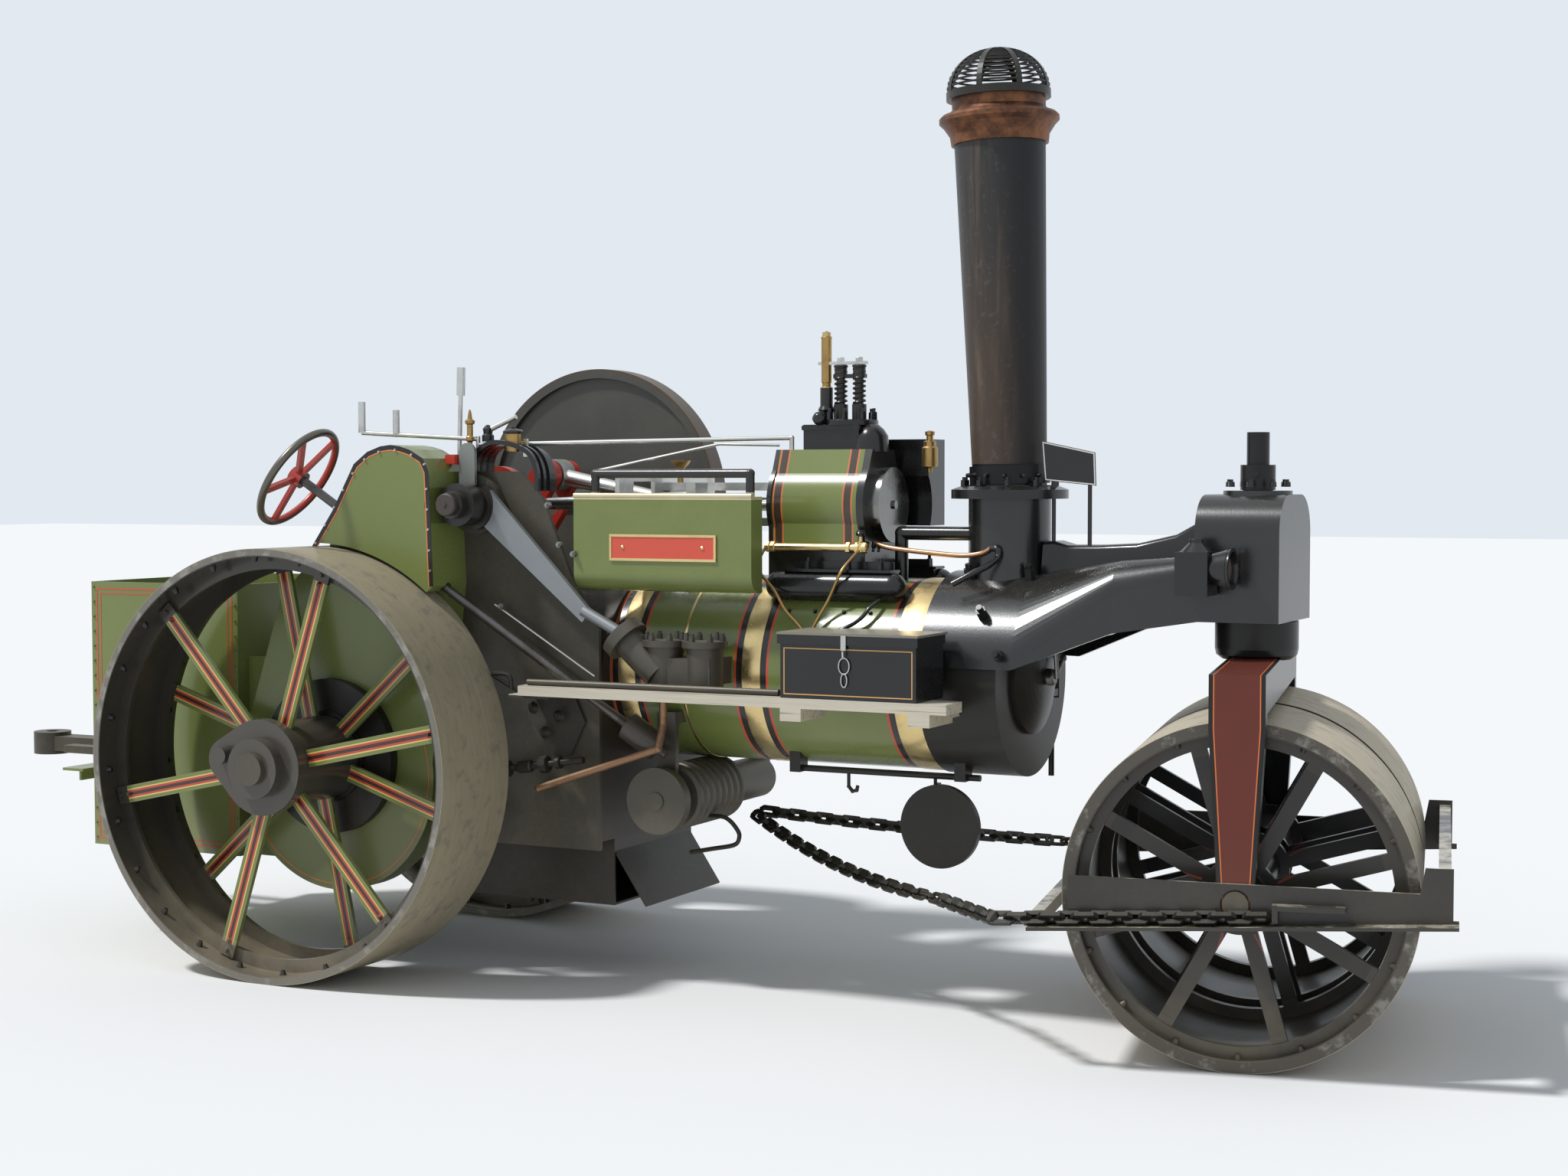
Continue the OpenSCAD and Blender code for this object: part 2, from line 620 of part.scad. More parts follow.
// Tender
bunker_front_x = -470;
module tender() color("olivedrab") {
  w = tender_w / 2;
  difference() {
    block([-tender_rear, -w, tender_z], [bunker_front_x, w, bunker_z]);
    // Coal bunker, open at the top
    block([tender_t - tender_rear, tender_t - w, floor_z], [bunker_front_x - tender_t, w - tender_t, bunker_z + 10]);
  }
  // Footplate and its side sheets between bunker and side plates
  block([bunker_front_x, -plate_in_y, floor_z - 8], [-96, plate_in_y, floor_z]);
  for (s = [-1, 1]) {
    block([bunker_front_x, min(s * plate_in_y, s * plate_out_y), tender_z], [-230, max(s * plate_in_y, s * plate_out_y), 1100]);
  }
  block([-96, -plate_in_y + 0, floor_z - 8], [firebox_x - 40, plate_in_y, floor_z]);
  // Step at the right side
  block([-1160, -w - 190, 660], [-1060, -w, 670]);
  block([-1115, -w - 150, 620], [-1105, -w, 660]);
}
module drawbar() color("black") difference() {
  union() {
    block([-1800, -50, 640], [-tender_rear, 50, 700]);
    translate([-1830, 0, 625]) cylinder(d = 150, h = 90);
    block([-tender_rear - 12, -160, 560], [-tender_rear, 160, 780]);
    for (s = [-1, 1]) block([-tender_rear - 420, s * 150 - 30, 655], [-tender_rear - 12, s * 150 + 30, 685]);
  }
  translate([-1830, 0, 600]) cylinder(d = 50, h = 150);
}

// Shallow box at the side of the motion, with its hand rail
guard_box_y = 430;
guard_box_t = 80;
module motion_guard() color("olivedrab") {
  sheet_x(980, 1672) {
    translate([-guard_box_y, 1439]) square([guard_box_t, 265]);
    intersection() {
      translate([60 - guard_box_y, 1439]) circle(r = 60);
      translate([-guard_box_y, 1300]) square([guard_box_t, 300]);
    }
  }
  translate([0, 7 - guard_box_y, 1706]) cyl_x(20, 980, 1672);
  bent_bar([[1045, -390, 1690], [1045, -390, 1782], [1648, -390, 1782], [1648, -390, 1690]], 30);
}

// Toolbox, shelf and what lies on it
hinge_d = 10;
knuckle_d = 16;
// Middle of the lid's hinge behind the box, and the ends of its three knuckles
lid_hinge_y = -toolbox_in_y + knuckle_d / 2 + 1;
knuckle_l = 60;
knuckle_xs = [for (i = [0:2]) toolbox_x + toolbox_l * (0.15 + 0.35 * i) - knuckle_l / 2];
module toolbox() color("black") {
  difference() {
    block([toolbox_x, -shelf_y, shelf_z], [toolbox_x + toolbox_l, -toolbox_in_y, toolbox_top_z]);
    block([toolbox_x + toolbox_t, toolbox_t - shelf_y, shelf_z + toolbox_t],
      [toolbox_x + toolbox_l - toolbox_t, -toolbox_in_y - toolbox_t, toolbox_top_z + 1]);
  }
  for (x = knuckle_xs) difference() {
    union() {
      translate([0, lid_hinge_y, toolbox_top_z]) cyl_x(knuckle_d, x, x + knuckle_l);
      block([x, -toolbox_in_y - 1, toolbox_top_z - 30], [x + knuckle_l, lid_hinge_y, toolbox_top_z - 2]);
    }
    translate([0, lid_hinge_y, toolbox_top_z]) cyl_x(hinge_d + 2 * seat_gap, x - 1, x + knuckle_l + 1);
  }
}
module toolbox_lid() color("black") {
  difference() {
    block([toolbox_x - 8, -shelf_y - 8, toolbox_top_z + seat_gap], [toolbox_x + toolbox_l + 8, -toolbox_in_y, toolbox_top_z + 36]);
    block([toolbox_x + 4, 4 - shelf_y, toolbox_top_z - 1], [toolbox_x + toolbox_l - 4, -toolbox_in_y - 4, toolbox_top_z + 30]);
  }
  // Hinge rod, with a strap to the lid between the box's knuckles
  translate([0, lid_hinge_y, toolbox_top_z]) cyl_x(hinge_d, knuckle_xs[0] - 8, knuckle_xs[2] + knuckle_l + 8);
  for (i = [0, 1]) block([knuckle_xs[i] + knuckle_l + 6, -toolbox_in_y - 3, toolbox_top_z + seat_gap],
    [knuckle_xs[i + 1] - 6, lid_hinge_y, toolbox_top_z + hinge_d / 2]);
}
plank_x0 = 857;
plank_x1 = 2446;
block_xs = [1863, 2314];
module tool_shelf() color("gray") {
  block([plank_x0, -shelf_y, shelf_z - shelf_t], [plank_x1, -plank_in_y, shelf_z]);
  // Wood blocks under the plank, on brackets from the boiler
  for (x = block_xs) difference() {
    union() {
      block([x, -shelf_y, shelf_z - shelf_t - 42], [x + 75, -shelf_y + 190, shelf_z - shelf_t]);
      block([x + 10, -shelf_y + 190, shelf_z - shelf_t - 30], [x + 60, -300, shelf_z - shelf_t - 10]);
    }
    translate([0, 0, boiler_z]) cyl_x(boiler_d + (x > 2235 ? 14 : 0) + 2 * seat_gap, 1500, 2600);
  }
  // Riveted bracket plate at the rear
  plate_y([[775, shelf_z - shelf_t], [960, shelf_z - shelf_t], [1010, 920], [950, 800], [880, 800], [775, 930]],
    -plate_out_y - 14, -plate_out_y);
  block([800, -plank_in_y - 100, shelf_z - shelf_t - 12], [960, -plate_out_y - 14, shelf_z - shelf_t]);
}
module fire_irons() color("gray") {
  bar([880, 30 - shelf_y, shelf_z + 11 + seat_gap], [1840, 40 - shelf_y, shelf_z + 11 + seat_gap], 22);
  bar([1000, 80 - shelf_y, shelf_z + 9 + seat_gap], [1850, 70 - shelf_y, shelf_z + 9 + seat_gap], 18);
}

// Feed pump
pump_y = -450;
chest_xs = [1340, 1495];
module feed_pump() color("dimgray") difference() {
  union() {
    bar([1205, pump_y, 1212], [1330, pump_y, 1100], 110);
    bar([1180, pump_y, 1234], [1210, pump_y, 1207], 160);
    for (x = chest_xs) {
      translate([x, pump_y + 20, shelf_z + 4]) cylinder(d = 126, h = 150);
      translate([x, pump_y + 20, shelf_z + 140]) cylinder(d = 156, h = 22);
    }
    block([1300, pump_y - 30, 1070], [1540, -300, 1160]);
  }
  translate([0, 0, boiler_z]) cyl_x(boiler_d + 2 * seat_gap, 1000, 2200);
  block([1000, -600, 900], [1700, -200, shelf_z + 3]);
}
module pump_rod() color("silver") difference() {
  union() {
    translate([crank_x + 14, 0, crank_z - 14]) cyl_y(150, pump_y - 16, pump_y + 16);
    sheet_y(pump_y - 10, pump_y + 10) polygon([[600, 1730], [640, 1740], [1062, 1310], [1030, 1270], [590, 1630]]);
    bar([1030, pump_y, 1310], [1176, pump_y, 1238], 40);
  }
  translate([crank_x, 0, crank_z]) cyl_y(shaft_d + 2 * run_gap, -700, -300);
}

// Steering
column_top = [-81, -585, rear_d + 247];
column_low = [1328, -400, 822];
column_v = (column_low - column_top) / norm(column_low - column_top);
module along_column(at) translate(at)
  rotate([0, acos(column_v[2]), atan2(column_v[1], column_v[0])]) children();
module steering_column() color("firebrick") {
  r = steering_wheel_d / 2;
  along_column(column_top) {
    rotate_extrude() translate([r - 14, 0]) circle(d = 28, $fn = 32);
    cylinder(d = 64, h = 50, center = true);
    for (k = [0:4]) rotate([0, 0, 72 * k]) translate([20, -13, -7]) cube([r - 34, 26, 14]);
  }
  bar(column_top, column_low, 32);
  along_column(column_low - 170 * column_v) cylinder(d = 100, h = 130);
}
worm_x = 1300;
worm_z = 662;
module chain_barrel() color("dimgray") translate([worm_x, 0, worm_z]) difference() {
  union() {
    cyl_y(60, -430, 380);
    cyl_y(230, -425, -385);
    cyl_y(barrel_d, -322, 340);
    // Turns of chain on the barrel
    for (i = [0:7]) translate([0, -298 + 44 * i, 0]) rotate([90, 0, 0]) rotate_extrude()
      translate([barrel_d / 2 - 2, 0]) polygon([[0, -18], [30, -16], [42, -8], [42, 8], [30, 16], [0, 18]]);
    // Bearings under the boiler
    for (y = [-350, 345]) {
      cyl_y(110, y, y + 24);
      block([-36, min(y, y + 24), 0], [36, max(y, y + 24), 300]);
      block([-36, min(y, y * 0.72), 260], [36, max(y + 24, y * 0.72 + 24), 300]);
    }
  }
  translate([-worm_x, 0, boiler_z - worm_z]) cyl_x(boiler_d + 2 * seat_gap, 1000, 2000);
}

// Chains
link_d = 14;
link_l = 84;
link_w = 45;
module link_outline(l, w) {
  x = [l / 2, l / 2 - w / 2 * (1 - tan(22.5))];
  y = [w / 2 * tan(22.5), w / 2];
  polygon([[x[0], y[0]], [x[1], y[1]], [-x[1], y[1]], [-x[0], y[0]], [-x[0], -y[0]], [-x[1], -y[1]], [x[1], -y[1]], [x[0], -y[0]]]);
}
module link() translate([0, 0, -link_d / 2]) linear_extrude(link_d) difference() {
  link_outline(link_l, link_w);
  link_outline(link_l - 2 * link_d, link_w - 2 * link_d);
}
pitch = link_l - 2 * link_d - 6;
// Links laid end to end, each turned a quarter from the last: from a point along a level direction,
// falling by a slope that eases with the distance
module chain(from, angle, count, slope, ease) for (i = [0:count - 1]) {
  z = [for (k = [0, 1]) -slope * pitch * (i + k) + ease * pow(pitch * (i + k), 2)];
  translate(from) rotate([0, 0, angle]) translate([pitch * (i + 0.5), 0, (z[0] + z[1]) / 2])
    rotate([0, -atan((z[1] - z[0]) / pitch), 0]) rotate([90 * (i % 2) + 45, 0, 0]) link();
}
module steering_chains() color("dimgray") {
  chain([1330, 262, 531], -37.1, 24, 0.207, 0.0001017);
  chain([1345, 300, 540], 15.6, 21, 0.1055, 0.0000285);
}
// Front ends of the chain, in the fork's own directions
module fork_chains() color("dimgray") {
  chain([-948, -386, 434], -58.1, 9, -0.048, 0);
  chain([-710.2, -768, 455.5], 0, 16, -0.0487, 0);
}

// Under the boiler
rail_y = -150;
rail_z = boiler_z - boiler_r - 5;
pan_x = 2250;
pan_d = 280;
pan_z = rail_z - 165;
module boiler_rail() color("black") {
  translate([0, rail_y, rail_z]) cyl_x(22, 1690, 2382);
  difference() {
    for (x = [1690, 2300]) block([x, rail_y - 30, rail_z - 12], [x + 40, rail_y + 30, rail_z + 90]);
    translate([0, 0, boiler_z]) cyl_x(boiler_d + 2 * seat_gap, 1500, 2235.1);
    translate([0, 0, boiler_z]) cyl_x(boiler_d + 14 + 2 * seat_gap, 2235, 2600);
  }
  // Hooks
  for (x = [1900, pan_x - 30])
    bent_bar([for (p = [[0, -8], [0, -54], [14, -70], [30, -66], [34, -50]]) [x + p[0], rail_y, rail_z + p[1]]], 12);
  // Drain under the smokebox
  difference() {
    translate([2484, 250, rail_z - 30]) cylinder(d = 20, h = 200);
    translate([0, 0, boiler_z]) cyl_x(boiler_d + 14 + 2 * seat_gap, 2235, 2600);
  }
}
module hanging_pan() color("dimgray") translate([pan_x, 0, pan_z]) {
  difference() {
    cyl_y(pan_d, rail_y - 40, rail_y - 14);
    cyl_y(pan_d - 10, rail_y - 35, rail_y);
  }
  block([-24, rail_y - 26, pan_d / 2 - 8], [-12, rail_y + 8, pan_d / 2 + 2]);
}
module pipework() color("peru") {
  bent_bar([[870, -plate_out_y, 690], [870, -490, 690], [1345, -490, 850], [1345, -450, 930], [1345, -450, shelf_z + 2.7]], 26);
  bent_bar([[1660, -161.3, 1530], [1900, -161.3, 1530]], 22);
}
lever_y = -(plate_in_y + plate_out_y) / 2;
plate_top_z = 1790;
module control_levers() color("silver") {
  bent_bar([[478, lever_y, plate_top_z + seat_gap], [490, lever_y, 2160]], 16);
  bar([487, lever_y, 2060], [490, lever_y, 2160], 30);
  // Post with the driver's rods
  translate([560, lever_y, plate_top_z]) cylinder(d = 16, h = 125);
  bent_bar([[560, lever_y, 1885], [1650, -80, 1905], [1650, -80, cyl_z + 190 + seat_gap]], 16);
  bent_bar([[560, lever_y, 1905], [262, -465, 1922], [138, -500, 1930]], 16);
  bar([138, -500, 1930], [138, -500, 2040], 26);
  bar([262, -465, 1925], [262, -465, 2010], 24);
}

// Fork, axle and rolls, in the fork's own directions
module leg_outline(extra) polygon([
  [-leg_low_w / 2 - extra, roll_z], [leg_low_w / 2 + extra, roll_z],
  [leg_top_w / 2 + extra, crown_low_z - 40], [leg_top_w / 2 + extra, crown_top_z],
  [-leg_top_w / 2 - extra, crown_top_z], [-leg_top_w / 2 - extra, crown_low_z - 40]]);
module fork() color("brown") difference() {
  union() {
    for (s = [-1, 1]) {
      sheet_y(min(s * leg_in_y, s * leg_out_y), max(s * leg_in_y, s * leg_out_y)) {
        leg_outline(0);
        translate([0, roll_z]) circle(d = 150);
      }
    }
    block([-leg_top_w / 2, -leg_out_y, crown_low_z], [leg_top_w / 2, leg_out_y, crown_top_z]);
    // Round neck that the headstock rests on
    translate([0, 0, crown_top_z - 6]) rotate_extrude() polygon([[0, 0], [neck_d / 2 - 22, 0],
      [neck_d / 2 - 4, 14], [neck_d / 2, 34], [neck_d / 2, head_low_z - face_gap - crown_top_z + 6],
      [0, head_low_z - face_gap - crown_top_z + 6]]);
    translate([0, 0, crown_top_z]) cylinder(d = pin_d, h = 1727 - crown_top_z);
    // Collar and pipe stub on top of the head pin
    translate([0, 0, 1727]) cylinder(d = 111, h = 80);
    translate([0, 0, 1807]) cylinder(d = 72, h = 104);
    translate([0, 0, 1780]) cyl_y(20, -84, 84);
  }
  translate([0, 0, roll_z]) cyl_y(front_axle_d, -1000, 1000);
}
module front_axle() color("gray") translate([0, 0, roll_z]) cyl_y(front_axle_d, -leg_out_y - 12, leg_out_y + 12);

module roll(y0) color("dimgray") {
  spoke_d = 20;
  translate([0, 0, roll_z]) difference() {
    union() {
      sheet_y(y0, y0 + roll_w) difference() {
        circle(d = roll_d, $fn = 180);
        circle(d = roll_d - 2 * roll_rim_t, $fn = 180);
      }
      cyl_y(170, y0 - (y0 > 0 ? 10 : 0) , y0 + roll_w + (y0 > 0 ? 0 : 10));
      for (y = [y0 + 30, y0 + roll_w - 60]) {
        sheet_y(y, y + 30) difference() {
          circle(d = roll_d - 2 * roll_rim_t + 2);
          circle(d = roll_d - 2 * roll_rim_t - 70);
        }
        for (k = [0:roll_spokes - 1]) sheet_y(y + 4, y + 26) rotate([0, 0, 360 / roll_spokes * (k + 0.35)])
          translate([70, -24]) square([roll_d / 2 - roll_rim_t - 90, 48]);
        cyl_y(230, y, y + 30);
      }
    }
    cyl_y(front_axle_d + 2 * run_gap, -1000, 1000);
  }
}
module right_front_roll() roll(-roll_out_y);
module left_front_roll() roll(roll_in_y);

// Steering frame with the scraper bars round the rolls
frame_y = leg_out_y + 12;
module scraper_frame() color("black") {
  for (s = [-1, 1]) {
    // Upright plate against the leg, angle bar below it
    sheet_y(min(s * leg_out_y, s * (leg_out_y + 10)), max(s * leg_out_y, s * (leg_out_y + 10)))
      difference() {
        polygon([[-606, 428], [-606, 448], [-490, 454], [-490, 590], [520, 580], [534, 655], [612, 655], [612, 506], [628, 506],
          [628, 488]]);
        translate([0, roll_z]) circle(d = front_axle_d + 12);
      }
    sheet_y(min(s * leg_out_y, s * (leg_out_y + 66)), max(s * leg_out_y, s * (leg_out_y + 66)))
      polygon([[-606, 428], [-606, 438], [628, 498], [628, 488]]);
    block([122, min(s * (leg_out_y + 10), s * (leg_out_y + 56)), 520], [314, max(s * (leg_out_y + 10), s * (leg_out_y + 56)), 534]);
    // Lug that holds the chain's end
    block([107.3, min(s * (leg_out_y + 10), s * (leg_out_y + 46)), 482], [124, max(s * (leg_out_y + 10), s * (leg_out_y + 46)), 534]);
  }
  block([-606, -leg_out_y, 428], [-570, leg_out_y, 470]);
  block([570, -leg_out_y, 500], [606, leg_out_y, 640]);
}

// Rear wheels
hub_in_y = 558;
module rear_wheel(s) color("gray") translate([0, 0, axle_z]) {
  y0 = min(s * (rear_face_y - rear_tread_w), s * rear_face_y);
  y1 = y0 + rear_tread_w;
  rim_in = rear_d / 2 - rear_rim_t;
  ring_in = rim_in - rear_ring_h;
  difference() {
    union() {
      sheet_y(y0, y1) difference() {
        circle(d = rear_d, $fn = 180);
        circle(r = rim_in, $fn = 180);
      }
      for (y = [y0 + 96, y1 - 96]) sheet_y(y - 8, y + 8) difference() {
        circle(r = rim_in + 1, $fn = 180);
        circle(r = ring_in, $fn = 180);
      }
      for (j = [0, 1]) {
        y = s * (rear_face_y - (j == 0 ? 96 - 16 : rear_tread_w - 96 + 16));
        for (k = [0:rear_spokes - 1]) rotate([0, -360 / rear_spokes * (k + 0.5 * j) - 12, 0])
          block([rear_hub_d / 2 - 20, y - spoke_t / 2, -spoke_w / 2], [rim_in - 6, y + spoke_t / 2, spoke_w / 2]);
      }
      cyl_y(rear_hub_d, min(s * hub_in_y, s * (rear_face_y - 40)), max(s * hub_in_y, s * (rear_face_y - 40)));
      // Drive plate with its lobe, and the driving pin
      sheet_y(min(s * (rear_face_y - 40), s * (rear_face_y + 6)), max(s * (rear_face_y - 40), s * (rear_face_y + 6))) {
        hull() {
          circle(r = 168, $fn = 64);
          translate([-150, 20]) circle(r = 74, $fn = 32);
        }
      }
      translate([-150, 0, 38]) cyl_y(60, min(s * rear_face_y, s * (rear_face_y + 44)), max(s * rear_face_y, s * (rear_face_y + 44)));
      cyl_y(210, min(s * rear_face_y, s * (rear_face_y + 50)), max(s * rear_face_y, s * (rear_face_y + 50)));
    }
    cyl_y(axle_d + 2 * run_gap, -1200, 1200);
  }
}

placed() boiler_barrel();
placed() firebox();
placed() hornplates();
placed() ash_pan();
placed() smokebox();
placed() smokebox_door();
placed() firehole_door();
placed() saddle_headstock();
placed() chimney_base();
placed() chimney();
placed() chimney_cap();
placed() spark_arrester();
placed() headlamp();
placed() cylinder_body();  // cylinder
placed() cylinder_cover();
placed() steam_chest();
placed() safety_valves();
placed() exhaust_pipe();
placed() crosshead_guides();
placed() connecting_rod();
placed() valve_gear();
placed() gear_guard();
placed() differential_drum();
placed() rear_axle();
placed() tender();
placed() drawbar();
placed() motion_guard();
placed() toolbox();
placed() toolbox_lid();
placed() tool_shelf();
placed() fire_irons();
placed() feed_pump();
placed() pump_rod();
placed() steering_column();
placed() chain_barrel();
placed() steering_chains();
placed() boiler_rail();
placed() hanging_pan();
placed() pipework();
placed() control_levers();
placed() crankshaft();
placed() flywheel();
steered() fork();
steered() front_axle();
steered() scraper_frame();
steered() fork_chains();
steered() right_front_roll();
steered() left_front_roll();
placed() rear_wheel(-1);  // right_rear_wheel
placed() rear_wheel(1);  // left_rear_wheel
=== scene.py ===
# %% [markdown]
# # A steam road roller, dressed
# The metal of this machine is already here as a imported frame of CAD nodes, in metres, with X forward,
# Y to the left and Z up. This lesson gives it a camera, a plain studio, paint and small dressing:
# bands, rivets, nuts, blank plates, lamp glass. Nothing of the frame is moved or reshaped.

# %% Load the frame
import bpy, bmesh, math
from mathutils import Matrix, Vector


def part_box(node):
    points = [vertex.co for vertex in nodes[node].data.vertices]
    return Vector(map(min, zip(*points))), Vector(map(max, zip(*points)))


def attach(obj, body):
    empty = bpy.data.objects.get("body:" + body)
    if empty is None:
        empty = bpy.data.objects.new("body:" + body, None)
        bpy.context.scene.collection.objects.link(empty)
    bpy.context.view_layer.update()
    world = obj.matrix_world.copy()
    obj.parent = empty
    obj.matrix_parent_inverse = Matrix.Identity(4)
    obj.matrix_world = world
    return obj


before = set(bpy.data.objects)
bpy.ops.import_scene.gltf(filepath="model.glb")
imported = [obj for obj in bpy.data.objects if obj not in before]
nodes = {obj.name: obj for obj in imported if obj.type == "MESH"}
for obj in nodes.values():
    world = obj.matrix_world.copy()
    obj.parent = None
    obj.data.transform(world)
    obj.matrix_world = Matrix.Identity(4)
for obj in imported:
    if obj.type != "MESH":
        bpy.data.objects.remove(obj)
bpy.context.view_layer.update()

# %% [markdown]
# ## Where things are
# The photograph was measured from the middle of the rear axle. The frame's own origin lies under the
# middle of the machine, so one small function turns a measured place in millimetres into metres here.
# What the fork carries is measured from the head pin and along the rolls, which are steered a little.

# %% Places in millimetres
MIDDLE_X, WHEELBASE, STEER = 1066.5, 3269.0, math.radians(11)
REAR_R, ROLL_R, BOILER_R, BOILER_Z = 762, 525, 325, 1100
CRANK_X, CRANK_Z, CHIMNEY_X = 571, 1674, 2425
UP, TO_RIGHT, FORWARD = (0, 0, 1), (0, -1, 0), (1, 0, 0)


def at(x, y, z):
    return Vector(((x - MIDDLE_X) / 1000, y / 1000, z / 1000))


def on_fork(u, v, z):
    along, across = math.cos(STEER), math.sin(STEER)
    return at(WHEELBASE + u * along - v * across, u * across + v * along, z)


REAR = [at(0, side * 715, REAR_R) for side in (-1, 1)]

# %% [markdown]
# ## The photographer's place
# Wheels that should be circles show as ellipses, and their sizes and places give the camera: it stood
# seven and a half metres to the right of the machine, at eye height, looking a little back and down.

# %% Camera
eye = at(5303, -7452, 1776)
yaw, pitch, roll = math.radians(26.553), math.radians(2.722), math.radians(0.068)
look = Vector((-math.sin(yaw) * math.cos(pitch), math.cos(yaw) * math.cos(pitch), -math.sin(pitch)))
camera_data = bpy.data.cameras.new("photo_camera")
FOCAL_PIXELS, PHOTO_PIXELS, SENSOR = 3100, 2048, 36.0
camera_data.sensor_width, camera_data.lens = SENSOR, FOCAL_PIXELS / PHOTO_PIXELS * SENSOR
camera = bpy.data.objects.new("photo_camera", camera_data)
bpy.context.scene.collection.objects.link(camera)
turn = look.to_track_quat("-Z", "Y").to_matrix().to_4x4() @ Matrix.Rotation(-roll, 4, "Z")
camera.matrix_world = Matrix.Translation(eye) @ turn
bpy.context.scene.camera = camera

# %% [markdown]
# ## Studio
# The floor and the world are pale and plain. One soft sun stands high over the machine's rear, as on
# the summer day, where it puts a white streak along the shoulders of the boiler and the saddle. The
# world fills the shadows. Camera, mirror and glass rays see a pale ground for the world, so polished
# metal has something to show.

# %% Floor, sun and world
scene = bpy.context.scene
scene.view_settings.view_transform = "Standard"
floor_mesh = bpy.data.meshes.new("studio_floor")
HALF_FLOOR = 60
floor_mesh.from_pydata([(x * HALF_FLOOR, y * HALF_FLOOR, 0) for x, y in ((-1, -1), (1, -1), (1, 1), (-1, 1))],
                       [], [(0, 1, 2, 3)])
floor = bpy.data.objects.new("studio_floor", floor_mesh)
scene.collection.objects.link(floor)

sun_data = bpy.data.lights.new("sun", "SUN")
sun_data.energy, sun_data.angle = 2.7, math.radians(6)
sun = bpy.data.objects.new("sun", sun_data)
sun.rotation_euler = Vector((-0.45, -0.36, 0.84)).to_track_quat("Z", "Y").to_euler()
scene.collection.objects.link(sun)


def wire(tree, *links):
    """Each link is (node, output, node, input)."""
    for source, output, target, into in links:
        tree.links.new(source.outputs[output], target.inputs[into])


world = bpy.data.worlds.new("studio_world")
scene.world = world
world.use_nodes = True
wt = world.node_tree
wt.nodes.clear()
w_out, w_mix, w_fill, w_seen, w_path, w_any, w_glass = [wt.nodes.new("ShaderNode" + kind) for kind in (
    "OutputWorld", "MixShader", "Background", "Background", "LightPath", "Math", "Math")]
w_any.operation = w_glass.operation = "MAXIMUM"
for background, colour, strength in ((w_fill, (0.86, 0.93, 1.0, 1), 0.50), (w_seen, (0.80, 0.86, 0.92, 1), 0.95)):
    background.inputs["Color"].default_value = colour
    background.inputs["Strength"].default_value = strength
wire(wt, (w_path, "Is Camera Ray", w_any, 0), (w_path, "Is Glossy Ray", w_any, 1),
     (w_any, 0, w_glass, 0), (w_path, "Is Transmission Ray", w_glass, 1), (w_glass, 0, w_mix, 0),
     (w_fill, 0, w_mix, 1), (w_seen, 0, w_mix, 2), (w_mix, 0, w_out, "Surface"))

# %% [markdown]
# ## Shader sums as Python
# A paint's wear and lining are sums on places: distance from a line, height above the ground, a noise.
# Wired by hand they'd be hundreds of lines, so one small class wraps a socket and lets Python's own
# operators add the Math nodes. A Paint owns the material and makes every other node.

# %% Socket class
class Val:
    """A number socket that can be used in sums."""

    def __init__(self, paint, socket):
        self.paint, self.socket = paint, socket

    def sum(self, operation, *others):
        return self.paint.node("ShaderNodeMath", {"operation": operation}, dict(enumerate((self,) + others)))

    def __add__(self, o): return self.sum("ADD", o)
    def __radd__(self, o): return self.sum("ADD", o)
    def __sub__(self, o): return self.sum("SUBTRACT", o)
    def __rsub__(self, o): return self.paint.node("ShaderNodeMath", {"operation": "SUBTRACT"}, {0: o, 1: self})
    def __mul__(self, o): return self.sum("MULTIPLY", o)
    def __rmul__(self, o): return self.sum("MULTIPLY", o)
    def __gt__(self, o): return self.sum("GREATER_THAN", o)
    def __lt__(self, o): return self.sum("LESS_THAN", o)
    def __abs__(self): return self.sum("ABSOLUTE")
    def max(self, o): return self.sum("MAXIMUM", o)
    def min(self, o): return self.sum("MINIMUM", o)
    def root(self): return self.sum("SQRT")

    def band(self, low, high):
        """1 between two numbers, 0 elsewhere."""
        return (self > low) * (self < high)

    def soft(self, low, high):
        """0 below low, 1 above high, smooth between."""
        return self.paint.node("ShaderNodeMapRange", {"interpolation_type": "SMOOTHSTEP"}, {0: self, 1: low, 2: high})


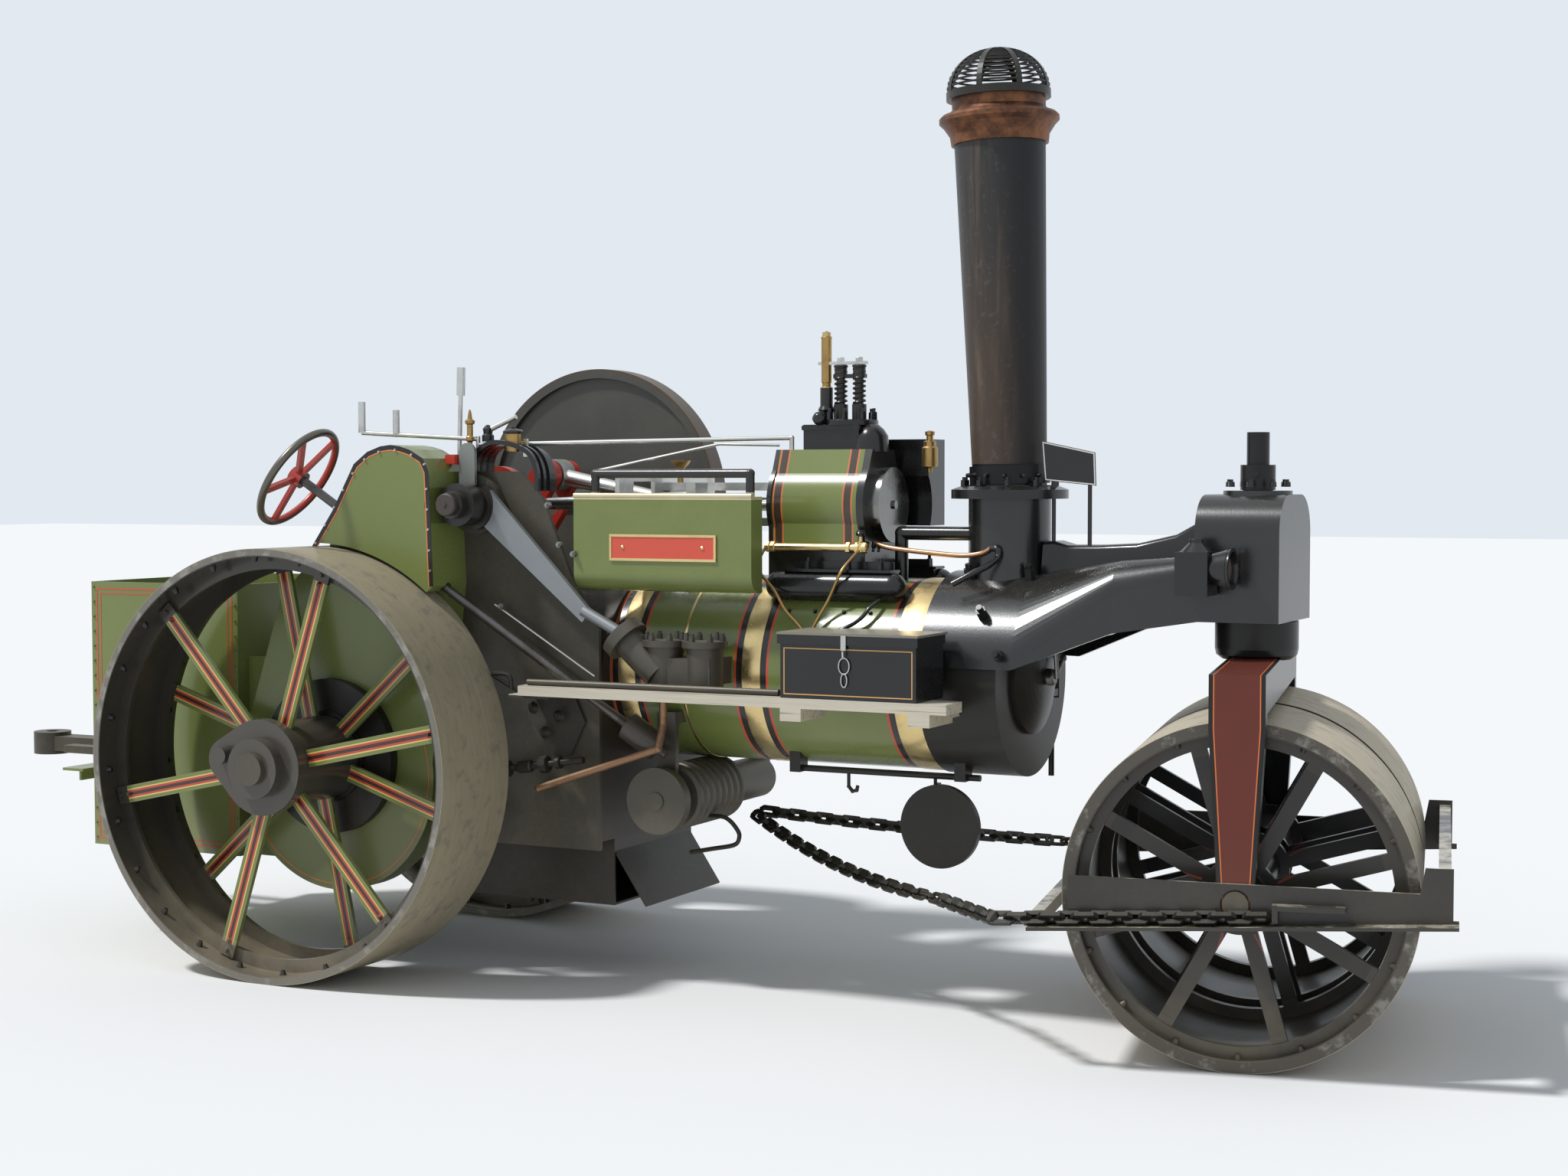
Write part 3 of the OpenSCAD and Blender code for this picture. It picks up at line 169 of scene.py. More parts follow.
class Paint:
    """A material made of sums."""

    def __init__(self, name):
        self.material = bpy.data.materials.new(name)
        self.material.use_nodes = True
        self.tree = self.material.node_tree
        self.shader = self.tree.nodes["Principled BSDF"]
        self.place = self.node("ShaderNodeTexCoord", out="Object")
        self.x, self.y, self.z = self.split(self.place)

    def node(self, kind, settings=None, values=None, out=0):
        new = self.tree.nodes.new(kind)
        for key, value in (settings or {}).items():
            setattr(new, key, value)
        for key, value in (values or {}).items():
            if isinstance(value, Val):
                self.tree.links.new(value.socket, new.inputs[key])
            else:
                new.inputs[key].default_value = (*value, 1) if isinstance(value, tuple) and \
                    new.inputs[key].type == "RGBA" else value
        return Val(self, new.outputs[out])

    def split(self, vector):
        new = self.tree.nodes.new("ShaderNodeSeparateXYZ")
        self.tree.links.new(vector.socket, new.inputs[0])
        return [Val(self, new.outputs[i]) for i in range(3)]

    def noise(self, scale, detail, rough=0.55, stretch=(1, 1, 1)):
        where = self.node("ShaderNodeMapping", None, {0: self.place, 3: stretch})
        return self.node("ShaderNodeTexNoise", None, {0: where, 2: scale, 3: detail, 4: rough})

    def mix(self, below, above, amount):
        return self.node("ShaderNodeMix", {"data_type": "RGBA"}, {0: amount, 6: below, 7: above}, out=2)

    def over(self, base, *layers):
        """Lays (colour, amount) pairs over a base in turn."""
        for colour, amount in layers:
            base = self.mix(base, colour, amount)
        return base

    def tint(self, colour, low, high, amount):
        """A colour made darker or lighter by a number from 0 to 1."""
        return self.mix(tuple(c * low for c in colour), tuple(min(1.0, c * high) for c in colour), amount)

    def facing_up(self):
        normal = self.node("ShaderNodeNewGeometry", out="Normal")
        return self.split(normal)[2].soft(0.25, 0.95)

    def finish(self, colour, rough, metal=0.0, coat=0.0, bump=None, bump_size=0.001, bump_strength=0.5, gloss=0.5):
        into = {"Base Color": colour, "Roughness": rough, "Metallic": metal}
        for key, value in into.items():
            if isinstance(value, Val):
                self.tree.links.new(value.socket, self.shader.inputs[key])
            else:
                self.shader.inputs[key].default_value = (*value, 1) if key == "Base Color" else value
        self.shader.inputs["Coat Weight"].default_value = coat
        self.shader.inputs["Coat Roughness"].default_value = 0.12
        self.shader.inputs["Specular IOR Level"].default_value = gloss
        if bump is not None:
            raised = self.node("ShaderNodeBump", None,
                               {"Height": bump, "Distance": bump_size, "Strength": bump_strength})
            self.tree.links.new(raised.socket, self.shader.inputs["Normal"])
        return self.material


# %% [markdown]
# ## Dust
# The field is dry and the machine is moving, so a pale brown dust lies on everything: thick near the
# ground and on ledges, a film on the paint. One function lays it over any colour.

# %% Dust layer
DUST = (0.36, 0.30, 0.20)


def dusted(paint, colour, film, low, low_top, ledge, rough):
    """Lays dust over a colour: a film, more of it low down up to low_top metres, and on ledges.
    Returns the colour, the roughness and how much dust there is."""
    cloud = paint.noise(2.2, 4, 0.6).soft(0.35, 0.72)
    grain = paint.noise(60, 3, 0.7).soft(0.3, 0.75)
    height = 1 - paint.z.soft(0.15, low_top)
    dust = film * (0.35 + 0.65 * cloud) + height * low * (0.45 + 0.55 * cloud)
    dust = dust + paint.facing_up() * ledge * (0.5 + 0.5 * grain)
    dust = (dust * (0.75 + 0.25 * grain)).min(0.93)
    return paint.mix(colour, DUST, dust), dust * (0.85 - rough) + rough, dust


def plain_paint(name, colour, rough, coat, metal=0.0, film=0.1, low=0.45, low_top=1.0, ledge=0.3, speck=0.15,
                gloss=0.5):
    paint = Paint(name)
    tone = paint.noise(5.0, 4, 0.6)
    fine = paint.noise(140, 2, 0.6)
    base = paint.tint(colour, 1 - speck, 1 + speck, tone * 0.7 + fine * 0.3)
    shade, roughness, _ = dusted(paint, base, film, low, low_top, ledge, rough)
    return paint.finish(shade, roughness + (fine - 0.5) * 0.08, metal, coat, fine, 0.0004, 0.35, gloss)


# %% [markdown]
# ## The finishes
# Gloss coach paint on lagging and plates, stove black on castings, bright steel on the motion, brass
# bands, an oxidised copper cap, a grey weathered plank, and bare iron where it meets the road.

# %% Finishes used in several places
OLIVE, BLACK = (0.168, 0.208, 0.055), (0.0065, 0.0065, 0.0075)
BRICK, RED = (0.130, 0.024, 0.014), (0.50, 0.032, 0.018)
ORANGE, LINE_RED = (0.66, 0.17, 0.045), (0.58, 0.075, 0.032)

black_gloss = plain_paint("black_gloss", BLACK, 0.26, 0.25, film=0.015, low=0.10, low_top=0.8, ledge=0.03, gloss=0.42)
black_satin = plain_paint("black_satin", (0.010, 0.0095, 0.0085), 0.40, 0.08, 0.0, 0.05, 0.16, 0.8, 0.09, gloss=0.35)
black_grimy = plain_paint("black_grimy", (0.016, 0.0145, 0.012), 0.45, 0.05, 0.0, 0.11, 0.34, 0.95, 0.2, gloss=0.35)
hazy_black = plain_paint("hazy_black", (0.028, 0.028, 0.023), 0.42, 0.05, 0.0, 0.2, 0.3, 0.9, 0.2, gloss=0.35)
casting_black = plain_paint("casting_black", (0.009, 0.0095, 0.0105), 0.25, 0.15, 0.0, 0.02, 0.08, 0.8, 0.04, gloss=0.6)
chain_iron = plain_paint("chain_iron", (0.030, 0.028, 0.025), 0.30, 0.0, 0.5, 0.03, 0.06, 0.5, 0.08)
grey_iron = plain_paint("grey_iron", (0.066, 0.061, 0.051), 0.42, 0.0, 0.4, 0.14, 0.35, 0.9, 0.2)
red_gloss = plain_paint("red_gloss", RED, 0.3, 0.3, film=0.05, low=0.2, ledge=0.1)


def metal_finish(name, colour, rough, stain=(0.2, 0.15, 0.1), stained=0.35, film=0.06):
    paint = Paint(name)
    blot = paint.noise(9, 5, 0.65).soft(0.45, 0.75)
    fine = paint.noise(220, 2, 0.5)
    base = paint.mix(paint.tint(colour, 0.85, 1.1, fine), stain, blot * stained)
    shade, roughness, dust = dusted(paint, base, film, 0.4, 0.9, 0.2, rough)
    return paint.finish(shade, roughness + blot * 0.2, 1.0 - dust * 0.8, 0.0, fine, 0.0003, 0.3)


bright_steel = metal_finish("bright_steel", (0.62, 0.62, 0.60), 0.28)
polished_steel = metal_finish("polished_steel", (0.23, 0.23, 0.215), 0.16, (0.20, 0.16, 0.11), 0.25, 0.02)
dull_steel = metal_finish("dull_steel", (0.30, 0.30, 0.29), 0.42, (0.13, 0.11, 0.09), 0.4, 0.08)
brass = metal_finish("brass", (0.80, 0.62, 0.30), 0.24, (0.45, 0.30, 0.12), 0.3)
old_brass = metal_finish("old_brass", (0.42, 0.27, 0.10), 0.34, (0.14, 0.085, 0.04), 0.5)
copper = metal_finish("copper", (0.60, 0.33, 0.19), 0.28, (0.25, 0.14, 0.08), 0.4)
old_copper = metal_finish("old_copper", (0.30, 0.17, 0.10), 0.42, (0.07, 0.045, 0.03), 0.7, 0.12)


def plank_finish():
    """Grey weathered wood: grain runs along X, darker in the end cracks. The rear bracket is iron."""
    paint = Paint("plank_wood")
    grain = paint.noise(14, 6, 0.7, (0.35, 7, 7))
    crack = paint.noise(6, 3, 0.6, (0.25, 14, 14)).soft(0.58, 0.66)
    iron = (paint.x < at(1012, 0, 0).x) * (paint.z < 1.0195)
    base = paint.over(paint.tint((0.60, 0.55, 0.44), 0.74, 1.15, grain), ((0.08, 0.07, 0.06), crack * 0.6),
                      ((0.020, 0.018, 0.016), iron))
    shade, roughness, _ = dusted(paint, base, 0.10, 0.1, 1.0, 0.1, 0.62)
    return paint.finish(shade, roughness, 0.0, 0.0, grain, 0.002, 0.6)


plank_wood = plank_finish()


def chimney_finish():
    """Black paint burnt brown and grey: long upright streaks and browner low down, with painted shade making the side
    ahead, away from the sun, nearly black.
    """
    paint = Paint("chimney_paint")
    streak = paint.noise(5, 5, 0.65, (3.2, 3.2, 0.25))
    spot = paint.noise(38, 4, 0.6).soft(0.55, 0.75)
    brown = (1 - paint.z.soft(1.9, 2.9)) * 0.5 + streak.soft(0.45, 0.75) * 0.5
    # Painted shade: the side of the chimney ahead, away from the sun, is laid over with near-black.
    ahead = (paint.x - at(CHIMNEY_X, 0, 0).x).soft(-0.02, 0.10)
    ring = paint.z < 1.812
    base = paint.over((0.030, 0.031, 0.032), ((0.095, 0.058, 0.035), brown),
                      ((0.20, 0.195, 0.185), spot * 0.2 + streak.soft(0.5, 0.8) * 0.35),
                      ((0.007, 0.008, 0.010), ahead * 0.85), (BLACK, ring))
    return paint.finish(base, (1 - ring) * (streak * 0.22) + 0.33, 0.0, 0.0, spot, 0.0008, 0.3, gloss=0.28)


def cap_finish():
    """Copper that has been hot for years: brown and purple, in brighter and darker blotches."""
    paint = Paint("copper_cap")
    blot = paint.noise(11, 5, 0.65).soft(0.38, 0.7)
    base = paint.mix((0.080, 0.036, 0.022), (0.27, 0.115, 0.055), blot)
    return paint.finish(base, 0.42 + blot * 0.15, 0.75, 0.0, blot, 0.001, 0.3)


chimney_paint, copper_cap = chimney_finish(), cap_finish()

# %% [markdown]
# ## Lined-out lagging
# The boiler's green sheets are edged beside each brass band with a black and a red line. They are
# narrow rings at a known place along the boiler, so the paint finds them from X alone.

# %% Boiler and cylinder lagging
BANDS = [(1094, 1162), (1580, 1650), (2140, 2230)]


def lagging_finish(name, groups, colours, flanges=False):
    """Green paint with rings: each group is (middle, half width of what it edges), in millimetres.
    With flanges, the cylinder's end flanges and the block under it are black."""
    paint = Paint(name)
    tone, fine = paint.noise(4.0, 4, 0.6), paint.noise(150, 2, 0.6)
    base = paint.tint(OLIVE, 0.82, 1.18, tone * 0.7 + fine * 0.3)
    for middle, half in groups:
        away = abs(paint.x * 1000 - (middle - MIDDLE_X)) - half
        base = paint.over(base, *((colour, away.band(low, high)) for low, high, colour in colours))
    if flanges:
        ends = (paint.x * 1000 < 1612 - MIDDLE_X).max(paint.x * 1000 > 1934 - MIDDLE_X)
        foot = 1.518
        base = paint.over(base, (ORANGE, paint.z.band(foot, foot + 0.008)), (BLACK, ends.max(paint.z < foot)))
    shade, roughness, _ = dusted(paint, base, 0.04, 0.4, 1.0, 0.06, 0.24)
    return paint.finish(shade, roughness, 0.0, 0.3, fine, 0.0003, 0.25)


boiler_lagging = lagging_finish("boiler_lagging", [((a + b) / 2, (b - a) / 2) for a, b in BANDS],
                                [(0, 22, BLACK), (22, 31, LINE_RED)])
cylinder_lagging = lagging_finish("cylinder_lagging", [(1634, 0), (1898, 0)],
                                  [(-1, 13, (0.045, 0.030, 0.020)), (13, 19, ORANGE)], flanges=True)
olive_gloss = plain_paint("olive_gloss", OLIVE, 0.27, 0.2, film=0.05, low=0.4, ledge=0.1, speck=0.10)

# %% [markdown]
# ## Wheels
# The rear spokes are green with a dark red stripe between yellow lines, and the stripe follows each
# spoke. The paint works out how far a point lies from the nearest spoke's middle line: the spokes
# of both rows repeat every twelfth of a turn, so the angle is folded and turned into a distance. The
# rolls have eight spokes a row and ride on the fork, whose own axes are found first.

# %% Wheel finishes
REAR_TREAD, ROLL_TREAD = 0.7600, 0.5235


def from_spoke(x, z, radius, step, first):
    """Millimetres from the middle line of the nearest spoke; step and first are angles in degrees."""
    step = math.radians(step)
    angle = z.sum("ARCTAN2", x) - math.radians(first) + step / 2 + 10 * step
    folded = angle.sum("FLOORED_MODULO", step) - step / 2
    return abs(radius * folded.sum("SINE")) * 1000


def fork_axes(paint):
    """Metres along and across the steered fork, from the head pin."""
    x, y = paint.x - at(WHEELBASE, 0, 0).x, paint.y
    return x * math.cos(STEER) + y * math.sin(STEER), y * math.cos(STEER) - x * math.sin(STEER)


def rear_wheel_finish():
    """Lined green spokes between a dark hub and rim, with a dusty worn tread and scraped edges."""
    paint = Paint("rear_wheel")
    x, z = paint.x - REAR[0].x, paint.z - REAR[0].z
    radius = (x * x + z * z).root()
    across = from_spoke(x, z, radius, 30, 12)
    tone, fine = paint.noise(6, 4, 0.6), paint.noise(130, 2, 0.6)
    worn = paint.noise(16, 5, 0.65).soft(0.5, 0.68)
    lined = paint.over(paint.tint((0.165, 0.200, 0.055), 0.8, 1.2, tone),
                       ((0.72, 0.52, 0.14), across.band(13.5, 18.0)), ((0.50, 0.055, 0.030), across < 13.5),
                       ((0.035, 0.012, 0.010), across < 6.0))
    rim = paint.tint((0.027, 0.0255, 0.021), 0.8, 1.3, tone)
    hub = (radius < 0.228) * (abs(paint.y) > 0.868)
    base = paint.over(rim, (lined, radius.band(0.15, 0.680)), ((0.052, 0.047, 0.039), hub.max(radius < 0.152)))
    low = (1 - paint.z.soft(0.02, 0.55)) * (radius > 0.66)
    cloud = paint.noise(3.0, 4, 0.6).soft(0.3, 0.7)
    dust = low * (0.16 + 0.4 * cloud) + 0.05 + paint.facing_up() * 0.06
    tread = radius > REAR_TREAD
    along = paint.noise(7, 5, 0.7, (1, 9, 1))
    earth = paint.mix(paint.tint((0.325, 0.280, 0.185), 0.75, 1.2, along), (0.16, 0.145, 0.115), worn * 0.5)
    beside = (abs(paint.y) > 0.9145).max((abs(paint.y) < 0.5155) * (radius > 0.735))
    edge = radius.band(0.738, REAR_TREAD) * beside
    steel = paint.mix((0.20, 0.185, 0.155), (0.34, 0.32, 0.28), worn)
    base = paint.over(base, (DUST, dust.min(0.9) * (0.75 + 0.25 * fine)), (earth, tread), (steel, edge * 0.85))
    roughness = (tread * 0.62 + 0.24 + dust * 0.5).min(0.92)
    return paint.finish(base, roughness, edge * 0.35 + tread * 0.1, 0.2, fine * 0.4 + along * 0.6, 0.0010, 0.4)


def roll_finish():
    """Brown-black castings with red lines on the spokes, a dusty worn tread and scraped shoulders."""
    paint = Paint("front_roll")
    x, across = fork_axes(paint)
    z = paint.z - ROLL_R / 1000
    radius = (x * x + z * z).root()
    aside = from_spoke(x, z, radius, 45, -15.75)
    tone, fine = paint.noise(7, 4, 0.6), paint.noise(120, 2, 0.6)
    worn = paint.noise(14, 5, 0.65).soft(0.5, 0.66)
    lines = aside.band(12, 19) * radius.band(0.12, 0.43)
    cloud = paint.noise(3.0, 4, 0.6).soft(0.3, 0.7)
    dust = (1 - paint.z.soft(0.0, 0.45)) * 0.34 * cloud + (radius > 0.43) * 0.06 + 0.02
    dust = dust + paint.facing_up() * 0.08
    tread = radius > ROLL_TREAD
    along = paint.noise(7, 5, 0.7, (1, 6, 1))
    earth = paint.mix(paint.tint((0.500, 0.430, 0.315), 0.78, 1.2, along), (0.24, 0.21, 0.165), worn * 0.4)
    edge = radius.band(0.490, ROLL_TREAD) * (abs(across) > 0.632)
    steel = paint.mix((0.10, 0.088, 0.070), (0.30, 0.28, 0.24), worn)
    base = paint.over(paint.tint((0.012, 0.010, 0.0085), 0.75, 1.3, tone), ((0.20, 0.040, 0.020), lines * 0.8),
                      (DUST, dust.min(0.9)), (earth, tread), (steel, edge * 0.8))
    roughness = (tread * 0.55 + 0.32 + dust * 0.45).min(0.92)
    return paint.finish(base, roughness, edge * 0.3 + tread * 0.12, 0.1, fine * 0.4 + along * 0.6, 0.0012, 0.45)


rear_wheel_paint, roll_paint = rear_wheel_finish(), roll_finish()


# %% [markdown]
# ## Fork and steering wheel
# The fork is brick red inside an orange line, over the crown too, and black outside it. The line runs
# parallel to the tapering edge of the leg, so its distance is counted from that slanting edge. The
# steering wheel has a dull steel rim on red spokes, told apart by the distance from the column.

# %% Fork and steering finishes
def fork_finish():
    paint = Paint("fork_paint")
    along, across = fork_axes(paint)
    z = paint.z * 1000
    tone, fine = paint.noise(5, 4, 0.6), paint.noise(140, 2, 0.6)
    half = 52 + (z - ROLL_R).max(0) * (30 / 512)
    inset = half.min(82.0) - abs(along * 1000)
    lined = paint.over((0.010, 0.0095, 0.0095), (ORANGE, inset.band(13, 16.5)),
                       (paint.tint(BRICK, 0.85, 1.15, tone), inset > 16.5))
    face = (abs(across * 1000) > 719.0).max(z.band(1193, 1197))
    base = paint.mix((0.008, 0.0075, 0.0075), lined, face)
    shade, roughness, _ = dusted(paint, base, 0.015, 0.2, 0.8, 0.03, 0.30)
    return paint.finish(shade, roughness, 0.0, 0.0, fine, 0.0004, 0.3, gloss=0.35)


STEER_TOP, STEER_LOW = at(-81, -585, 1771), at(1328, -400, 822)


def steering_finish():
    paint = Paint("steering_paint")
    axis = (STEER_LOW - STEER_TOP).normalized()
    dx, dy, dz = paint.x - STEER_TOP.x, paint.y - STEER_TOP.y, paint.z - STEER_TOP.z
    along = dx * axis.x + dy * axis.y + dz * axis.z
    away = (dx * dx + dy * dy + dz * dz - along * along).max(0).root()
    fine, blot = paint.noise(160, 2, 0.6), paint.noise(12, 4, 0.6).soft(0.45, 0.7)
    wheel = (abs(along) < 0.03) * (away > 0.03)
    rim = wheel * (away > 0.184)
    worm = along > 1.50
    base = paint.over((0.11, 0.108, 0.105), ((0.05, 0.042, 0.036), blot * 0.6),
                      ((0.42, 0.030, 0.022), wheel * (1 - rim)), ((0.13, 0.12, 0.10), rim),
                      ((0.045, 0.040, 0.034), worm))
    shade, roughness, dust = dusted(paint, base, 0.08, 0.5, 1.1, 0.1, 0.3)
    metal = (1 - wheel * (1 - rim)) * (1 - worm * 0.7)
    return paint.finish(shade, roughness, metal * 0.8 * (1 - dust), 0.1, fine, 0.0004, 0.3)


fork_paint, steering_paint = fork_finish(), steering_finish()

# %% [markdown]
# ## Two finishes on one casting
# Some nodes carry more than one finish: red webs on a bright crankshaft, a dark strap on the pump's
# bright rod, a brass whistle between black valves, a brass moulding and a black rail on the guard.
# Each is a base finish with a second colour where a place says so.

# %% Parts painted by place
def by_place(name, colour, rough, metal, changes, film=0.05, low=0.3, coat=0.15):
    """changes is a list of (mask from the paint, colour, metalness), laid over the base in turn."""
    paint = Paint(name)
    blot, fine = paint.noise(10, 4, 0.6), paint.noise(180, 2, 0.5)
    base, bright = paint.tint(colour, 0.8, 1.15, blot * 0.6 + fine * 0.4), metal
    for mask, other, other_metal in changes(paint):
        base = paint.mix(base, paint.tint(other, 0.8, 1.15, blot), mask)
        bright = bright * (1 - mask) + mask * other_metal
    shade, roughness, dust = dusted(paint, base, film, low, 0.9, 0.1, rough)
    return paint.finish(shade, roughness, bright * (1 - dust), coat, fine, 0.0004, 0.3)


def from_crank(paint):
    x, z = paint.x - at(CRANK_X, 0, 0).x, paint.z - CRANK_Z / 1000
    return (x * x + z * z).root()


motion_paint = by_place("motion_paint", (0.55, 0.55, 0.53), 0.3, 1.0, lambda p: [
    (from_crank(p) < 0.17, (0.42, 0.028, 0.016), 0.0), (from_crank(p) < 0.085, (0.02, 0.02, 0.02), 0.0)])
crank_paint = by_place("crank_paint", (0.45, 0.44, 0.42), 0.35, 1.0, lambda p: [
    ((abs(p.y) < 0.0885) * (from_crank(p) > 0.052), (0.48, 0.030, 0.018), 0.0),
    (p.y < -0.42, (0.010, 0.010, 0.010), 0.0), (p.y < -0.575, (0.060, 0.052, 0.048), 0.4)])
rod_paint = by_place("rod_paint", (0.27, 0.285, 0.30), 0.38, 0.55, lambda p: [
    (from_crank(p) < 0.098, (0.014, 0.013, 0.012), 0.0)])
valves_paint = by_place("valves_paint", (0.012, 0.0115, 0.011), 0.35, 0.2, lambda p: [
    ((p.x < at(1770, 0, 0).x) * (p.z > 2.078), (0.60, 0.44, 0.20), 1.0)])
guard_paint = by_place("guard_paint", OLIVE, 0.27, 0.0, lambda p: [
    (abs(p.z - 1.706) < 0.0125, (0.66, 0.58, 0.36), 0.3), (p.z > 1.7185, (0.010, 0.010, 0.011), 0.0)], low=0.2)
flywheel_paint = by_place("flywheel_paint", (0.058, 0.059, 0.054), 0.42, 0.1, lambda p: [
    (from_crank(p) > 0.500, (0.085, 0.058, 0.040), 0.3),
    (from_crank(p) < 0.105, (0.012, 0.012, 0.012), 0.0)], 0.12, 0.1, 0.05)
scraper_paint = by_place("scraper_paint", (0.014, 0.013, 0.012), 0.32, 0.0, lambda p: [
    (p.facing_up() * (p.noise(9, 5, 0.65).soft(0.40, 0.62)), (0.52, 0.48, 0.38), 0.1)], 0.05, 0.12)

# %% [markdown]
# ## Paint on the frame
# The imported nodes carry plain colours. Each gets its finish in every material slot; its mesh stays.

# %% Give every node its finish
FINISH = {
    boiler_lagging: ["boiler_barrel"],
    cylinder_lagging: ["cylinder"],
    guard_paint: ["motion_guard"],
    olive_gloss: ["gear_guard", "tender"],
    casting_black: ["saddle_headstock"],
    black_gloss: ["chimney_base", "toolbox", "toolbox_lid", "steam_chest", "headlamp", "exhaust_pipe"],
    black_satin: ["smokebox", "smokebox_door", "hanging_pan", "spark_arrester", "boiler_rail", "differential_drum",
                  "ash_pan"],
    black_grimy: ["firebox", "firehole_door", "drawbar"],
    hazy_black: ["hornplates"],
    flywheel_paint: ["flywheel"],
    scraper_paint: ["scraper_frame"],
    grey_iron: ["chain_barrel", "feed_pump", "fire_irons", "front_axle", "rear_axle"],
    chain_iron: ["steering_chains", "fork_chains"],
    bright_steel: ["crosshead_guides", "connecting_rod", "control_levers"],
    polished_steel: ["cylinder_cover"],
    motion_paint: ["valve_gear"],
    crank_paint: ["crankshaft"],
    rod_paint: ["pump_rod"],
    valves_paint: ["safety_valves"],
    old_copper: ["pipework"],
    plank_wood: ["tool_shelf"],
    chimney_paint: ["chimney"],
    copper_cap: ["chimney_cap"],
    rear_wheel_paint: ["right_rear_wheel", "left_rear_wheel"],
    roll_paint: ["right_front_roll", "left_front_roll"],
    fork_paint: ["fork"],
    steering_paint: ["steering_column"],
}
for finish, names in FINISH.items():
    for name in names:
        slots = nodes[name].data.materials
        for i in range(len(slots)):
            slots[i] = finish
print("nodes without a finish:", sorted(set(nodes) - set(sum(FINISH.values(), []))))

# %% [markdown]
# ## Making pieces
# Five helpers make nearly all of the dressing. A piece is a mesh whose points are already in place. A
# ribbon is a thin flat line that follows a path on a face, with mitred corners. A lathe turns a
# profile round an axis, a tube follows a path, and a brick is a box with small bevels.

# %% Piece, ribbon, lathe, tube and brick
made, LINE_THICK = [], 0.0009


def piece(name, shape, finish, smooth=None, body="engine"):
    """Makes a piece of a bmesh or a mesh; edges flatter than smooth, in degrees, are shaded over."""
    mesh = shape
    if isinstance(shape, bmesh.types.BMesh):
        mesh = bpy.data.meshes.new(name)
        bmesh.ops.recalc_face_normals(shape, faces=shape.faces)
        shape.to_mesh(mesh)
        shape.free()
    mesh.materials.clear()
    mesh.materials.append(finish)
    if smooth:
        mesh.shade_smooth()
        mesh.set_sharp_from_angle(angle=math.radians(smooth))
    new = bpy.data.objects.new(name, mesh)
    scene.collection.objects.link(new)
    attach(new, body)
    made.append(new)


def ribbon(bm, path, normal, width, closed=True, shift=0.0):
    """A flat line along a path of points in one plane; shift, in metres, moves it inwards."""
    count, normal = len(path), Vector(normal).normalized()
    rows = []
    for i, here in enumerate(path):
        before = path[i - 1] if closed or i else here - (path[1] - here)
        after = path[(i + 1) % count] if closed or i < count - 1 else here + (here - path[i - 1])
        a, b = (here - before).normalized(), (after - here).normalized()
        side = normal.cross((a + b).normalized())
        stretch = 1 / max(0.35, side.dot(normal.cross(b)))
        rows.append([here + side * stretch * (shift + k * width) + normal * lift
                     for k, lift in ((0, 0), (1, 0), (1, LINE_THICK), (0, LINE_THICK))])
    verts = [[bm.verts.new(p) for p in row] for row in rows]
    for i in range(count if closed else count - 1):
        a, b = verts[i], verts[(i + 1) % count]
        for k in range(4):
            bm.faces.new((a[k], a[(k + 1) % 4], b[(k + 1) % 4], b[k]))
    if not closed:
        bm.faces.new(verts[0][::-1])
        bm.faces.new(verts[-1])


def around(middle, side, other, radius, angles):
    """Points round a middle, from side towards other."""
    return [middle + (side * math.cos(t) + other * math.sin(t)) * radius for t in angles]


def skin(bm, rings, segments):
    """Faces between rings of vertices; a ring of one vertex closes the shape."""
    for a, b in zip(rings, rings[1:]):
        for k in range(segments):
            j = (k + 1) % segments
            corners = list(dict.fromkeys([a[k % len(a)], a[j % len(a)], b[j % len(b)], b[k % len(b)]]))
            if len(corners) > 2:
                bm.faces.new(corners)


def lathe(bm, start, axis, profile, segments):
    """Turns (distance along, radius) pairs round an axis; ends on the axis close the shape."""
    axis = Vector(axis).normalized()
    side = axis.orthogonal().normalized()
    other = axis.cross(side)
    angles = [2 * math.pi * k / segments for k in range(segments)]
    rings = []
    for along, radius in profile:
        points = around(start + axis * along, side, other, radius, angles if radius > 1e-6 else angles[:1])
        rings.append([bm.verts.new(p) for p in points])
    skin(bm, rings, segments)
    return rings


def tube(bm, path, radius, segments=10):
    """A round wire along a path, with closed ends."""
    angles = [2 * math.pi * k / segments for k in range(segments)]
    rings, side = [], None
    for i, here in enumerate(path):
        ahead = (path[min(i + 1, len(path) - 1)] - path[max(i - 1, 0)]).normalized()
        side = ahead.orthogonal().normalized() if side is None else (side - ahead * side.dot(ahead)).normalized()
        rings.append([bm.verts.new(p) for p in around(here, side, ahead.cross(side), radius, angles)])
    skin(bm, rings, segments)
    bm.faces.new(rings[0][::-1])
    bm.faces.new(rings[-1])


def brick(bm, low, high, bevel):
    """A box between two corners with small bevels."""
    box = bmesh.ops.create_cube(bm, size=1.0)
    middle, size = (low + high) / 2, high - low
    for v in box["verts"]:
        v.co = Vector((v.co.x * size.x, v.co.y * size.y, v.co.z * size.z)) + middle
    edges = list({e for v in box["verts"] for e in v.link_edges})
    bmesh.ops.bevel(bm, geom=edges, offset=bevel, segments=2, affect="EDGES")


# %% [markdown]
# ## Rivets, bolts and nuts
# The machine is held together by hundreds of heads. Geometry Nodes put one shape on every point of a
# list and turn it to the point's own direction. One tree serves rivets and nuts: its named inputs give
# the size, the number of sides, the taper of the head and the stud in its middle.

